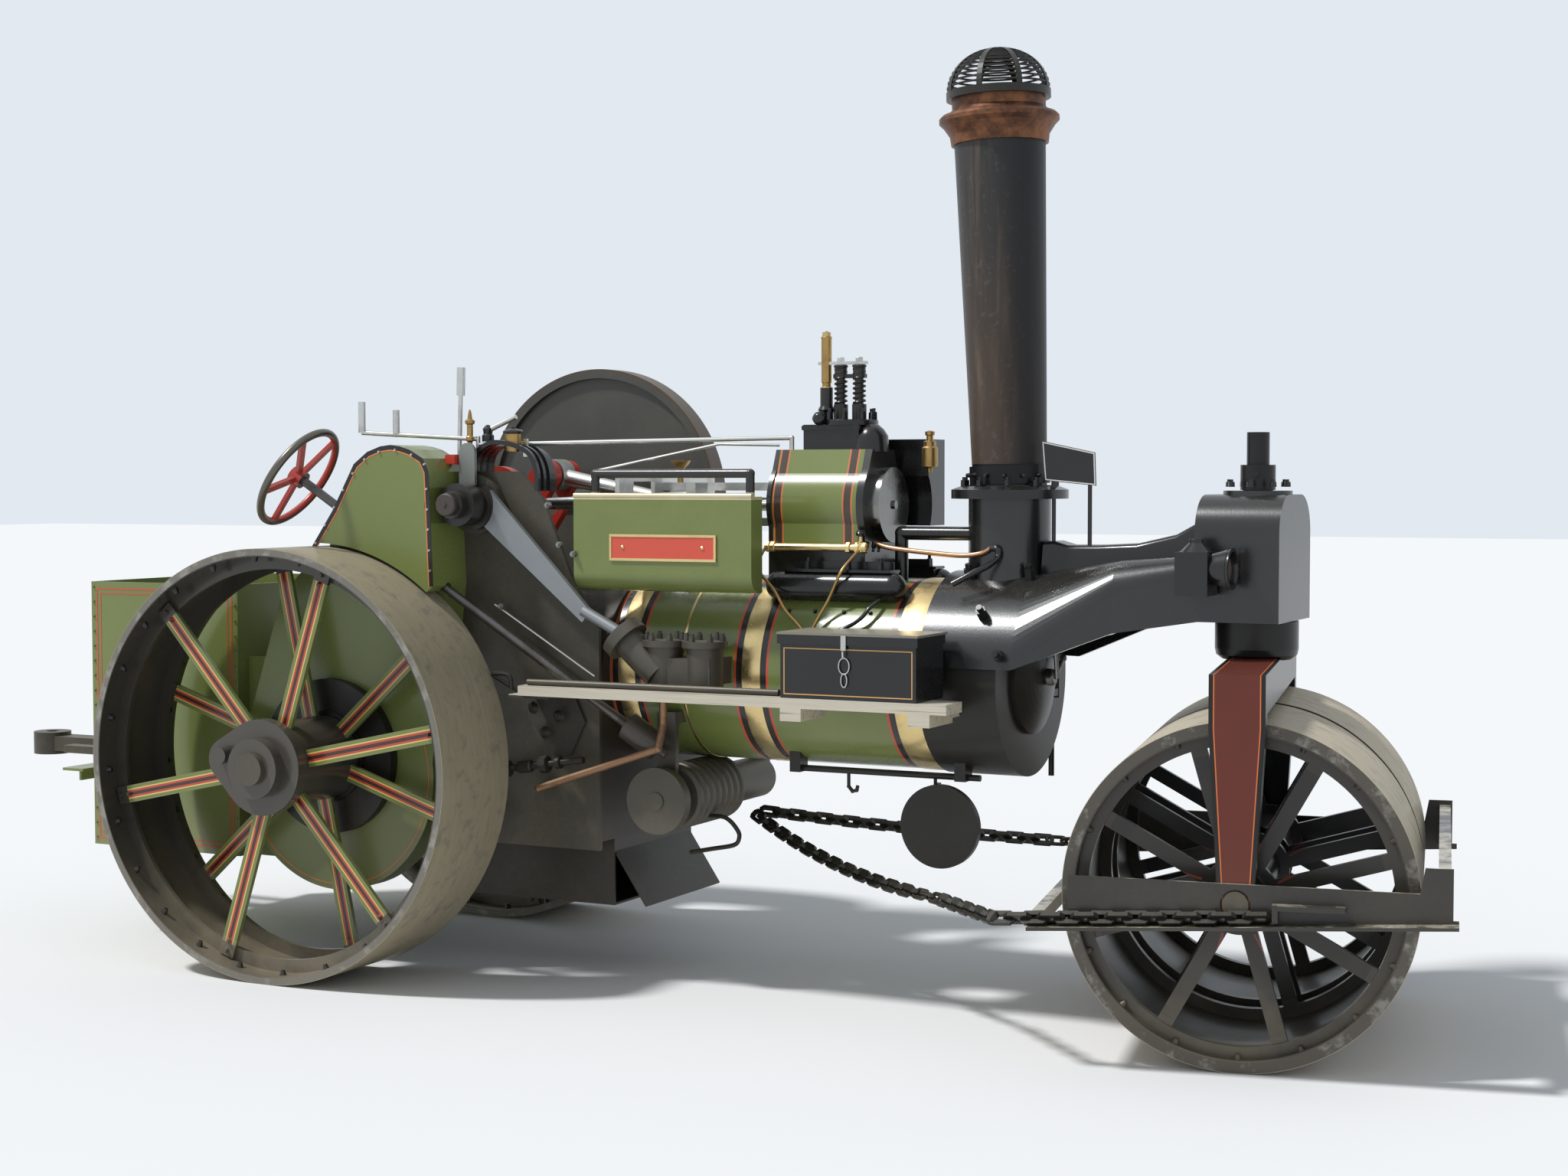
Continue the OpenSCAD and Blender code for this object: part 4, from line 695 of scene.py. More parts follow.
# %% The fastener tree
def new_tree(name, numbers, result):
    """A geometry tree with inputs (name, kind); returns it with its first and last node."""
    tree = bpy.data.node_groups.new(name, "GeometryNodeTree")
    for label, kind in [("Points", "Geometry"), *numbers, ("Finish", "Material")]:
        tree.interface.new_socket(label, in_out="INPUT", socket_type="NodeSocket" + kind)
    tree.interface.new_socket(result, in_out="OUTPUT", socket_type="NodeSocketGeometry")
    return tree, tree.nodes.new("NodeGroupInput"), tree.nodes.new("NodeGroupOutput")


def geometry_nodes(tree, *kinds):
    return [tree.nodes.new("GeometryNode" + kind) for kind in kinds]


def on_points(tree, into, out, shape, turn, rotation):
    """The end of a tree: the shape on every point, turned, made real and given its finish."""
    place, real, paint = geometry_nodes(tree, "InstanceOnPoints", "RealizeInstances", "SetMaterial")
    wire(tree, (into, "Points", place, "Points"), (shape, 0, place, "Instance"), (turn, rotation, place, "Rotation"),
         (place, 0, real, 0), (real, 0, paint, "Geometry"), (into, "Finish", paint, "Material"), (paint, 0, out, 0))


def fastener_tree():
    tree, into, out = new_tree("fasteners", [("Radius", "Float"), ("Height", "Float"), ("Sides", "Int"),
                                             ("Tip radius", "Float"), ("Stud", "Float")], "Heads")
    head, stud, join, axis = geometry_nodes(tree, "MeshCone", "MeshCone", "JoinGeometry", "InputNamedAttribute")
    tip, rod, top = [tree.nodes.new("ShaderNodeMath") for _ in range(3)]
    for node in (tip, rod, top):
        node.operation = "MULTIPLY"
    stud.inputs["Vertices"].default_value = 10
    top.inputs[1].default_value = 1.5
    wire(tree, (into, "Sides", head, "Vertices"), (into, "Radius", head, "Radius Bottom"),
         (into, "Radius", tip, 0), (into, "Tip radius", tip, 1), (tip, 0, head, "Radius Top"),
         (into, "Height", head, "Depth"), (into, "Radius", rod, 0), (into, "Stud", rod, 1),
         (rod, 0, stud, "Radius Bottom"), (rod, 0, stud, "Radius Top"), (into, "Height", top, 0),
         (top, 0, stud, "Depth"), (head, "Mesh", join, 0), (stud, "Mesh", join, 0))
    turn = tree.nodes.new("FunctionNodeAlignRotationToVector")
    axis.data_type, turn.axis = "FLOAT_VECTOR", "Z"
    axis.inputs["Name"].default_value = "direction"
    wire(tree, (axis, "Attribute", turn, "Vector"))
    on_points(tree, into, out, join, turn, 0)
    return tree


def grown(tree, name, places, attribute, kind, field, numbers, settings):
    """The mesh a tree grows on a list of places, which carry one attribute."""
    mesh = bpy.data.meshes.new(name + "_points")
    mesh.from_pydata(places, [], [])
    mesh.attributes.new(attribute, kind, "POINT").data.foreach_set(field, numbers)
    holder = bpy.data.objects.new(name + "_points", mesh)
    scene.collection.objects.link(holder)
    modifier = holder.modifiers.new(tree.name, "NODES")
    modifier.node_group = tree
    for item in tree.interface.items_tree:
        if item.name in settings:
            modifier[item.identifier] = settings[item.name]
    graph = bpy.context.evaluated_depsgraph_get()
    solid = bpy.data.meshes.new_from_object(holder.evaluated_get(graph), depsgraph=graph)
    solid.name = name
    bpy.data.objects.remove(holder)
    return solid


FASTENERS = fastener_tree()


def heads(name, places, finish, radius, height, sides=6, tip=0.92, stud=0.5, body="engine"):
    """places is a list of (point, direction); tip and stud are parts of the radius."""
    solid = grown(FASTENERS, name, [p for p, _ in places], "direction", "FLOAT_VECTOR", "vector",
                  [c for _, d in places for c in Vector(d).normalized()],
                  {"Radius": radius, "Height": height, "Sides": sides, "Tip radius": tip, "Stud": stud,
                   "Finish": finish})
    piece(name, solid, finish, body=body)


def ring_of(centre, radius, count, first=0.0):
    """Points round an upright axis."""
    angles = [math.radians(first + 360 / count * k) for k in range(count)]
    return around(centre, Vector(FORWARD), Vector((0, 1, 0)), radius, angles)


# %% [markdown]
# ## Small turned and bent things
# A bend is a smooth curve through measured places. A turned part is a short lathe profile in
# millimetres, and with six segments it is a hexagon nut. A flat plate is an outline with a thickness,
# for links and brackets, and an arc rounds its end.

# %% Bend, turned, nut, plate and arc
def bend(points, steps=6):
    """Catmull-Rom curve through (x, y, z) places in engine millimetres."""
    p = [at(*q) for q in points]
    p = [2 * p[0] - p[1]] + p + [2 * p[-1] - p[-2]]
    out = []
    for a, b, c, d in zip(p, p[1:], p[2:], p[3:]):
        for k in range(steps):
            t = k / steps
            square, cube = 2 * a - 5 * b + 4 * c - d, 3 * b - a - 3 * c + d
            out.append(0.5 * (2 * b + (c - a) * t + square * t * t + cube * t ** 3))
    return out + [p[-2]]


def turned(bm, base, axis, profile, segments=24):
    """profile is a list of (distance along, radius) in millimetres; both ends are closed."""
    profile = [(0, 0), *profile, (profile[-1][0], 0)]
    lathe(bm, at(*base), axis, [(a / 1000, r / 1000) for a, r in profile], segments)


def nut(bm, base, axis, radius, height):
    turned(bm, base, axis, [(0, radius), (height * 0.85, radius), (height, radius * 0.86)], 6)


def plate(bm, outline, y0, y1):
    """outline is a list of (x, z) in engine millimetres; the plate lies between two Y."""
    rows = [[bm.verts.new(at(x, y, z)) for x, z in outline] for y in (y0, y1)]
    bm.faces.new(rows[0])
    bm.faces.new(rows[1][::-1])
    for i in range(len(outline)):
        j = (i + 1) % len(outline)
        bm.faces.new((rows[0][i], rows[1][i], rows[1][j], rows[0][j]))


def arc(cx, cz, radius, first, last, count):
    angles = (math.radians(first + (last - first) * k / (count - 1)) for k in range(count))
    return [(cx + radius * math.cos(a), cz + radius * math.sin(a)) for a in angles]


# %% [markdown]
# ## Bands, linings and blank plates
# Brass bands hold the lagging, with one narrow strip where two sheets meet. The guard over the gears,
# the casing beside the wheel, the tender and the toolbox are lined out with thin painted lines. The
# name plate and the number plate are left blank.

# %% Brass bands
bands = bmesh.new()
INNER, OUTER = 0.3246, 0.3270
for low, high in BANDS + [(1345, 1354)]:
    width = (high - low) / 1000
    rings = lathe(bands, at(low, 0, BOILER_Z), FORWARD, [
        (0, INNER), (0, OUTER - 0.0008), (0.003, OUTER), (width - 0.003, OUTER), (width, OUTER - 0.0008),
        (width, INNER)], 96)
    skin(bands, [rings[-1], rings[0]], 96)
piece("boiler_bands", bands, brass, 40)

# %% Lining
line_orange, line_red, line_gold = [
    plain_paint(name, colour, 0.3, 0.2, film=0.03, low=0.2, ledge=0.0) for name, colour in (
        ("line_orange", (0.70, 0.20, 0.05)), ("line_red", LINE_RED), ("line_gold", (0.62, 0.34, 0.12)))]

GUARD = [(-13, 1522), (81, 1653), (175, 1817), (234, 1860), (290, 1879), (333, 1884), (375, 1878), (414, 1867),
         (471, 1836), (495, 1790), (511, 1390)]
guard_path = [at(x, -600, z) for x, z in reversed(GUARD)]
lines, edge = bmesh.new(), bmesh.new()
EDGE = 0.0165
ribbon(edge, guard_path, TO_RIGHT, EDGE, closed=False)
ribbon(lines, guard_path, TO_RIGHT, 0.0045, closed=False, shift=EDGE)
casing = [at(x, -500, z) for x, z in arc(5, 700, 430, -200, 20, 45)]
ribbon(lines, casing, TO_RIGHT, 0.004, closed=False, shift=0.018)
piece("guard_lines", lines, line_orange)
piece("guard_edge", edge, black_gloss)


def box_lines(bm, x0, x1, z0, z1, y, inset, width):
    """A closed line inside the edge of a side that faces away from the machine."""
    path = [at(x0, y, z0), at(x1, y, z0), at(x1, y, z1), at(x0, y, z1)]
    if y > 0:
        path.reverse()
    ribbon(bm, path, (0, -1 if y < 0 else 1, 0), width, shift=inset)


TENDER, TENDER_SIDE = (-1180, -470, 352, 1370), 460
lines = bmesh.new()
for y in (-TENDER_SIDE, TENDER_SIDE):
    box_lines(lines, *TENDER, y, 0.024, 0.006)
    box_lines(lines, *TENDER, y, 0.044, 0.004)
piece("tender_lines", lines, line_red)
lines = bmesh.new()
box_lines(lines, 1865, 2343, 1056, 1232, -600, 0.012, 0.0035)
piece("toolbox_lines", lines, line_gold)

# %% Blank plates
rim = bmesh.new()
for x0, x1, z0, z1 in ((1126, 1541, 1484, 1493), (1126, 1541, 1566, 1575),
                       (1126, 1135, 1493, 1566), (1532, 1541, 1493, 1566)):
    brick(rim, at(x0, -437, z0), at(x1, -430, z1), 0.0012)
for x in (1178, 1488):
    turned(rim, (x, -434, 1531), TO_RIGHT, [(0, 7), (3, 6), (5, 3)], 12)
piece("name_plate_rim", rim, brass)
face = bmesh.new()
brick(face, at(1134, -434, 1492), at(1533, -430, 1567), 0.0008)
name_red = plain_paint("name_red", (0.66, 0.075, 0.040), 0.3, 0.3, film=0.03, low=0.0, ledge=0.0, speck=0.08)
piece("name_plate", face, name_red)

sheet = bmesh.new()
CORNERS, PLATE_FRONT, PLATE_BACK = [(2556, 1888), (2741, 1849), (2745, 1740), (2567, 1757)], -50, -47
plate(sheet, CORNERS, PLATE_FRONT, PLATE_BACK)
for x in (2590, 2715):
    brick(sheet, at(x, PLATE_BACK, 1470), at(x + 14, PLATE_BACK + 5, 1790), 0.001)
piece("number_plate", sheet, black_gloss)
white_line = plain_paint("white_line", (0.62, 0.62, 0.58), 0.4, 0.2, film=0.08, low=0.0, ledge=0.0)
lines = bmesh.new()
ribbon(lines, [at(x, PLATE_FRONT, z) for x, z in CORNERS[::-1]], TO_RIGHT, 0.004, shift=0.002)
piece("number_plate_edge", lines, white_line)

# %% [markdown]
# ## Rows of heads
# Snap rivets in the rims, bolts up the edge of the gear guard, studs through the saddle, rivets round
# the chimney's foot and down the tender's corners.

# %% Heads on the wheels and rolls
def round_wheel(centre, heading, radius, count, first=0.0):
    """Points round a wheel's axis with their directions outwards; heading is the wheel's (x, y)."""
    found = []
    for k in range(count):
        a = math.radians(first + 360 / count * k)
        out = Vector((math.cos(a) * heading[0], math.cos(a) * heading[1], math.sin(a)))
        found.append((centre + out * radius, out))
    return found


RIM_OUTER, RIM_INNER, RIM_INSET = 0.915, 0.515, 0.045
for centre, side, name in ((REAR[0], -1, "right"), (REAR[1], 1, "left")):
    rims, spokes, wheel = [], [], name + "_rear_wheel"
    for y in (RIM_OUTER - RIM_INSET, RIM_INNER + RIM_INSET):
        middle = Vector((centre.x, side * y, centre.z))
        rims += [(p, -out) for p, out in round_wheel(middle, (1, 0), 0.7335, 24, 4)]
    heads(wheel + "_rim_rivets", rims, black_gloss, 0.013, 0.018, 12, 0.55, 0.0, wheel)
    for y, facing, first in ((0.843, side, 12), (0.587, -side, 42)):
        middle = Vector((centre.x, side * y, centre.z))
        for r in (0.672, 0.706):
            spokes += [(p, (0, facing, 0)) for p, _ in round_wheel(middle, (1, 0), r, 6, first)]
    heads(wheel + "_spoke_rivets", spokes, rear_wheel_paint, 0.010, 0.012, 10, 0.6, 0.0, wheel)
for side, name in ((-1, "right_front_roll"), (1, "left_front_roll")):
    places = []
    for v in (613, 47):
        places += [(p, -out) for p, out in round_wheel(
            on_fork(0, side * v, ROLL_R), (math.cos(STEER), math.sin(STEER)), 0.4853, 16)]
    heads(name + "_rivets", places, roll_paint, 0.011, 0.014, 10, 0.6, 0.0, name)

# %% Heads on the engine
GUARD_BOLTS = [(8, 1535), (49, 1599), (90, 1663), (131, 1725), (173, 1784), (225, 1833), (287, 1860), (356, 1866),
               (425, 1849), (479, 1815), (488, 1729), (491, 1658), (494, 1588), (497, 1515), (499, 1444)]
heads("guard_bolts", [(at(x, -600.5, z), TO_RIGHT) for x, z in GUARD_BOLTS], bright_steel, 0.0055, 0.007, 8, 0.7, 0.0)


def round_boiler(places, radius):
    """Points on both sides of the boiler at (x, z) places, with their directions outwards."""
    found = []
    for x, z in places:
        y = math.sqrt(radius ** 2 - (z - BOILER_Z) ** 2)
        found += [(at(x, y * s, z), Vector((0, y * s, z - BOILER_Z))) for s in (-1, 1)]
    return found


heads("saddle_studs", round_boiler([(2330, 1433), (2543, 1434), (2442, 1318), (2525, 1192)], 354), black_gloss,
      0.019, 0.034, 6, 0.95, 0.55)
heads("lagging_screws", round_boiler([(x, 1315) for x in (1721, 1819, 1926, 2024)], BOILER_R), black_gloss,
      0.008, 0.010, 10, 0.6, 0.0)
foot = at(CHIMNEY_X, 0, 1775)
heads("chimney_foot_rivets", [(p, p - foot) for p in ring_of(foot, 0.134, 14)], black_gloss,
      0.009, 0.014, 10, 0.6, 0.0)
heads("chimney_flange_nuts", [(p, UP) for p in ring_of(at(CHIMNEY_X, 0, 1739), 0.158, 10)], black_gloss,
      0.012, 0.020, 6, 0.95)


def corner(x, y, facing):
    """Eighteen rivets up a corner of the tender."""
    low, high = at(x, y, 380), at(x, y, 1350)
    return [(low.lerp(high, k / 17), facing) for k in range(18)]


tender_rivets = [rivet for s in (-1, 1) for x in (-1168, -482) for rivet in corner(x, s * TENDER_SIDE, (0, s, 0))]
tender_rivets += corner(TENDER[0], -445, (-1, 0, 0)) + corner(TENDER[0], 445, (-1, 0, 0))
heads("tender_rivets", tender_rivets, olive_gloss, 0.006, 0.007, 8, 0.6, 0.0)
plate_bolts = [(at(x, s * 430, z), (0, s, 0)) for s in (-1, 1)
               for x, z in ((927, 1536), (984, 1504), (687, 1316), (729, 1598), (881, 1673))]
heads("side_plate_bolts", plate_bolts, dull_steel, 0.012, 0.016, 6, 0.9)
heads("bracket_rivets", [(at(x, -444, z), TO_RIGHT) for x, z in ((820, 965), (868, 880), (925, 940))], black_satin,
      0.022, 0.016, 16, 0.45, 0.0)
pump_nuts = [(p, UP) for x in (1340, 1495) for p in ring_of(at(x, -430, 1218), 0.062, 6, 15)]
heads("pump_nuts", pump_nuts, grey_iron, 0.013, 0.018)
heads("headstock_nuts", [(p, UP) for p in ring_of(at(WHEELBASE, 0, 1737), 0.095, 8)], black_gloss, 0.011, 0.016)

# %% [markdown]
# ## Chain between engine and fork
# The steering chain is a string of oval links, each turned a quarter from the last. The frame has its
# two ends; here are the links across the gap on the near side, and the run along the far roll's
# scraper. One tree makes a link from a rounded rectangle and puts it on every point of a path.

# %% The chain tree
LINK = {"Length": 0.070, "Width": 0.031, "Wire": 0.007}


def chain_tree():
    tree, into, out = new_tree("chain", [(name, "Float") for name in LINK], "Links")
    shape, corner, profile, solid, turn = geometry_nodes(
        tree, "CurvePrimitiveQuadrilateral", "FilletCurve", "CurvePrimitiveCircle", "CurveToMesh",
        "InputNamedAttribute")
    half = tree.nodes.new("ShaderNodeMath")
    half.operation, corner.mode, turn.data_type = "MULTIPLY", "POLY", "QUATERNION"
    half.inputs[1].default_value = 0.49
    corner.inputs["Count"].default_value = 4
    profile.inputs["Resolution"].default_value = 8
    turn.inputs["Name"].default_value = "turn"
    wire(tree, (into, "Length", shape, "Width"), (into, "Width", shape, "Height"), (into, "Width", half, 0),
         (shape, 0, corner, "Curve"), (half, 0, corner, "Radius"), (into, "Wire", profile, "Radius"),
         (corner, 0, solid, "Curve"), (profile, "Curve", solid, "Profile Curve"))
    on_points(tree, into, out, solid, turn, "Attribute")
    return tree


CHAIN = chain_tree()
chain_black = plain_paint("chain_black", (0.016, 0.015, 0.014), 0.36, 0.1, 0.4, 0.08, 0.2, 0.7, 0.12)


def links_between(name, stops, count, body):
    """count links along a path of stops, in metres."""
    legs = [(b - a).length for a, b in zip(stops, stops[1:])]
    pitch, middles, turns = sum(legs) / count, [], []
    for i in range(count):
        gone, leg = pitch * (i + 0.5), 0
        while leg < len(legs) - 1 and gone > legs[leg]:
            gone, leg = gone - legs[leg], leg + 1
        ahead = (stops[leg + 1] - stops[leg]).normalized()
        middles.append(stops[leg] + ahead * gone)
        roll = Matrix.Rotation(math.radians(90 * (i % 2) + 45), 4, ahead)
        turns += list((roll @ ahead.to_track_quat("X", "Z").to_matrix().to_4x4()).to_quaternion())
    solid = grown(CHAIN, name, middles, "turn", "QUATERNION", "value", turns, LINK | {"Finish": chain_black})
    print(name, "pitch", round(pitch * 1000, 1), "mm")
    piece(name, solid, chain_black, 40, body)


links_between("near_chain_links", [at(2287.1, -461.9, 429), at(2412.1, -559.8, 434)], 3, "engine")
links_between("far_fork_chain", [on_fork(-784.8, 745.9, 460.6), on_fork(-710.2, 768, 455.5), on_fork(106, 768, 495)],
              17, "fork")

# %% [markdown]
# ## Cylinder fittings
# Two thin feed pipes leave the brass drain pipe beside the cylinder, and a copper one runs to the
# chimney's foot. The whistle is brass, and the safety valves have coil springs under one bright bar.

# %% Pipes beside the cylinder
DRAIN_Y, DRAIN_Z = -161.3, 1530
pipes, feed, small, dark = bmesh.new(), bmesh.new(), bmesh.new(), bmesh.new()
tube(pipes, [at(1590, DRAIN_Y, DRAIN_Z), at(1975, DRAIN_Y, DRAIN_Z)], 0.0125, 16)
for x in (1592, 1612, 1898, 1932, 1958):
    nut(pipes, (x, DRAIN_Y, DRAIN_Z), FORWARD, 19, 16)
turned(pipes, (1949, DRAIN_Y, 1512), UP, [(0, 9), (4, 13), (36, 13), (40, 8), (58, 7)], 16)
for bm, radius, places in (
        (feed, 0.0058, [(1595, -170, 1530), (1600, -215, 1505), (1607, -262, 1460), (1678, -275, 1388),
                        (1730, -290, 1320), (1805, -312, 1254), (1838, -326, 1175)]),
        (feed, 0.0058, [(1949, -166, 1524), (1940, -215, 1495), (1922, -262, 1450), (1882, -275, 1357),
                        (1836, -306, 1256), (1812, -330, 1165)]),
        (small, 0.0085, [(1985, -118, 1545), (2040, -135, 1532), (2142, -145, 1521), (2299, -142, 1509),
                         (2375, -140, 1516), (2415, -146, 1534)]),
        (dark, 0.007, [(2055, -238, 1362), (2034, -272, 1335), (2008, -292, 1298), (1960, -304, 1268),
                       (1905, -318, 1244), (1880, -332, 1190)]),
        (dark, 0.011, [(2415, -146, 1534), (2441, -152, 1532), (2444, -158, 1505), (2425, -200, 1478),
                       (2385, -232, 1454), (2322, -256, 1418)])):
    tube(bm, bend(places), radius)
turned(dark, (1949, DRAIN_Y, 1568), UP, [(0, 8), (4, 15), (12, 17), (20, 12), (24, 4)], 16)
for x in (1975, 1995):
    turned(dark, (x, -104, 1548), (0, -0.4, -1), [(0, 9), (18, 9), (22, 5), (34, 5)], 10)
piece("brass_drain_pipe", pipes, brass, 30)
piece("feed_pipes", feed, old_brass, 40)
piece("blower_pipe", small, copper, 40)
piece("black_pipes", dark, black_gloss, 40)

# %% Foot flange, valve flange and bolts on the cylinder
cast = bmesh.new()
for x0, y0, z0, x1, y1, z1, bevel in (
        (1692, -236, 1449, 2092, -152, 1458, 0.002), (1700, -158, 1458, 2070, -150, 1484, 0.002),
        (1692, 152, 1449, 2092, 236, 1458, 0.002), (1700, 150, 1458, 2070, 158, 1484, 0.002),
        (1684, -77, 1930, 1906, 97, 1948, 0.003)):
    brick(cast, at(x0, y0, z0), at(x1, y1, z1), bevel)
turned(cast, (1835, 5, 1948), UP, [(0, 96), (16, 96), (19, 92)], 48)
turned(cast, (1925, -20, 1856), UP, [(0, 62), (54, 58), (76, 44), (92, 26), (97, 8)], 32)
turned(cast, (1745, 0, 1950), UP, [(0, 34), (10, 34), (14, 24), (40, 24), (52, 30), (64, 24), (66, 16)], 20)
turned(cast, (1752, -40, 1948), (0, -0.35, 0.25), [(0, 17), (20, 17), (34, 24), (48, 24), (60, 14), (64, 6)], 16)
piece("cylinder_castings", cast, black_gloss, 30)
bolts = [(at(x, s * 208, 1458), UP) for s in (-1, 1) for x in (1775, 1925, 2045)]
bolts += [(p, UP) for p in ring_of(at(1835, 5, 1967), 0.083, 8, 10)]
heads("cylinder_bolts", bolts, black_gloss, 0.012, 0.026)

# %% Whistle and safety valves
whistle = bmesh.new()
turned(whistle, (1745, 0, 2066), UP, [(0, 12), (4, 19), (12, 19), (16, 15.5), (28, 15.5), (31, 18), (180, 18),
                                      (186, 20), (190, 16), (194, 7), (206, 6), (208, 3)])
piece("whistle_bell", whistle, old_brass, 30)
springs, bar_top = bmesh.new(), bmesh.new()
COILS = 9
for x in (1800, 1870):
    coil = [at(x + 19.5 * math.cos(t), 19.5 * math.sin(t), 1998 + 150 * t / (2 * math.pi * COILS))
            for t in (2 * math.pi * k / 16 for k in range(16 * COILS + 1))]
    tube(springs, coil, 0.0044, 6)
    for z in (1990, 2148):
        turned(springs, (x, 0, z), UP, [(0, 25), (6, 25), (8, 21)], 16)
    nut(bar_top, (x, 0, 2168), UP, 14, 14)
brick(bar_top, at(1716, -11, 2157), at(1900, 11, 2168), 0.002)
piece("valve_springs", springs, black_satin, 40)
piece("valve_bar", bar_top, bright_steel, 30)

# %% Lubricators and oil cups
cups, black_caps = bmesh.new(), bmesh.new()
tube(cups, [at(2066, 150, 1835), at(2088, 108, 1835)], 0.009, 10)
for bm, base, segments, profile in (
        (cups, (2088, 108, 1785), 20, [(0, 9), (14, 9), (20, 28), (84, 28), (90, 22), (106, 22), (110, 12),
                                       (126, 12), (130, 17), (140, 17), (144, 5)]),
        (cups, (537, -405, 1790), 16, [(0, 14), (8, 9), (104, 9), (110, 14), (122, 14), (126, 11), (166, 11),
                                       (170, 17), (180, 18), (186, 9), (206, 6), (219, 3)]),
        (cups, (709, -390, 1860), 24, [(0, 27), (4, 29), (62, 29), (66, 24)]),
        (cups, (1171, -10, 1750), 20, [(0, 12), (24, 10), (52, 16), (66, 30), (76, 35), (79, 35)]),
        (black_caps, (709, -390, 1925), 24, [(0, 36), (6, 37), (12, 30), (16, 10), (22, 9), (26, 4)]),
        (black_caps, (583, -360, 1896), 16, [(0, 22), (22, 22), (28, 16), (46, 19), (54, 12), (60, 5)])):
    turned(bm, base, UP, profile, segments)
piece("oil_cups", cups, old_brass, 30)
piece("oil_cup_lids", black_caps, black_gloss, 30)

# %% [markdown]
# ## Round the crank
# A ribbed black hood stands over the eccentrics, with a pale link and an end cap before it. Thin rods
# run forward to the cylinder.

# %% Hood, link and cap
HOOD = [(560, 1788), (566, 1836), (590, 1870), (640, 1893), (700, 1890), (762, 1873), (803, 1845), (826, 1792),
        (829, 1722)]
HOOD_X, HOOD_Z, INWARD = 695, 1760, -9
outer = [(p.x * 1000 + MIDDLE_X, p.z * 1000) for p in bend([(x, 0, z) for x, z in HOOD], 4)]


def beside_hood(distance):
    """The hood's outline moved away from its middle by a distance in millimetres."""
    found = []
    for x, z in outer:
        grow = 1 + distance / math.hypot(x - HOOD_X, z - HOOD_Z)
        found.append((HOOD_X + (x - HOOD_X) * grow, HOOD_Z + (z - HOOD_Z) * grow))
    return found


hood = bmesh.new()
for y0, y1, rib in ((-425, -300, 0), (-428, -412, 7), (-392, -376, 7), (-352, -336, 7)):
    plate(hood, beside_hood(rib) + beside_hood(INWARD)[::-1], y0, y1)
piece("crank_hood", hood, black_gloss, 35)
pale = bmesh.new()
plate(pale, [(523, 1742), (589, 1742), (589, 1858)] + arc(556, 1858, 33, 10, 170, 13) + [(523, 1858)], -455, -441)
pale_paint = plain_paint("pale_link", (0.25, 0.26, 0.25), 0.42, 0.1, 0.5, film=0.08, low=0.0, ledge=0.05)
piece("bearing_link", pale, pale_paint)
cap = bmesh.new()
turned(cap, (CRANK_X, -602, CRANK_Z), TO_RIGHT, [(0, 40), (9, 40), (13, 36), (13, 8), (17, 7), (18, 3)], 32)
end_paint = plain_paint("shaft_end", (0.060, 0.050, 0.046), 0.5, 0.0, 0.4, film=0.1, low=0.0, ledge=0.05)
piece("crank_end_cap", cap, end_paint, 30, "crankshaft")
red_bits = bmesh.new()
brick(red_bits, at(472, -470, 1815), at(518, -432, 1850), 0.003)
brick(red_bits, at(476, -470, 1542), at(499, -458, 1612), 0.003)
piece("red_levers", red_bits, red_gloss)

# %% Rods and linkage
rods, link_work = bmesh.new(), bmesh.new()
for bm, radius, segments, *stops in (
        (rods, 0.0055, 8, (904, -150, 1792), (1382, -110, 1885), (1592, -60, 1880)),
        (rods, 0.010, 10, (583, -360, 1935), (615, -352, 1951), (692, -345, 1984)),
        (rods, 0.004, 8, (658, -436, 1322), (1065, -436, 1083)),
        (link_work, 0.012, 12, (594, -470, 729), (1040, -470, 795)),
        (link_work, 0.011, 10, (600, -432, 729), (606, -470, 731))):
    tube(bm, [at(*stop) for stop in stops], radius, segments)
brick(rods, at(738, -372, 1842), at(756, -364, 1905), 0.001)
ROD_RUN, ROD_RISE = 446, 66
for k, (x, r, h) in enumerate(((640, 24, 20), (706, 30, 34), (772, 22, 60), (866, 30, 34), (930, 22, 20))):
    turned(link_work, (x, -470, 729 + (x - 594) * ROD_RISE / ROD_RUN), (ROD_RUN, 0, ROD_RISE),
           [(0, r * 0.8), (h * 0.1, r), (h * 0.9, r), (h, r * 0.8)], 8 if k % 2 else 12)
for places in ([(1311, -200, 455), (1400, -200, 474), (1482, -200, 492), (1503, -200, 515), (1498, -200, 545),
                (1451, -200, 586), (1374, -200, 589)],
               [(785, -470, 1020), (700, -505, 1076), (716, -520, 1086), (770, -520, 1082), (780, -520, 1036)]):
    tube(link_work, bend(places, 4), 0.008, 8)
piece("thin_rods", rods, bright_steel, 40)
piece("brake_linkage", link_work, black_satin, 35)

# %% [markdown]
# ## Rib on the perch
# A rounded rib stands on the casting between chimney and headstock. Its outline was measured along the
# middle of the machine, and it sinks into the casting all along.

# %% Perch rib
RIB_FOOT = [(3128, 1490), (2860, 1480), (2700, 1450), (2558, 1436)]
RIB = [(2566, 1556), (2600, 1558), (2646, 1545), (2754, 1546), (2887, 1553), (3018, 1584),
       (3075, 1616), (3128, 1652)] + RIB_FOOT
rib = bmesh.new()
rows = []
for y, drop in ((-62, 14), (-56, 4), (-44, 0), (44, 0), (56, 4), (62, 14)):
    rows.append([rib.verts.new(at(x, y, z if (x, z) in RIB_FOOT else z - drop)) for x, z in RIB])
skin(rib, rows, len(RIB))
rib.faces.new(rows[0][::-1])
rib.faces.new(rows[-1])
piece("perch_rib", rib, black_gloss, 50)

# %% [markdown]
# ## Driver's side of the boiler
# The photograph shows none of it, so it has only what such an engine carries there: two water gauges
# and a pressure gauge with a blank dial, on the firebox's rear face.

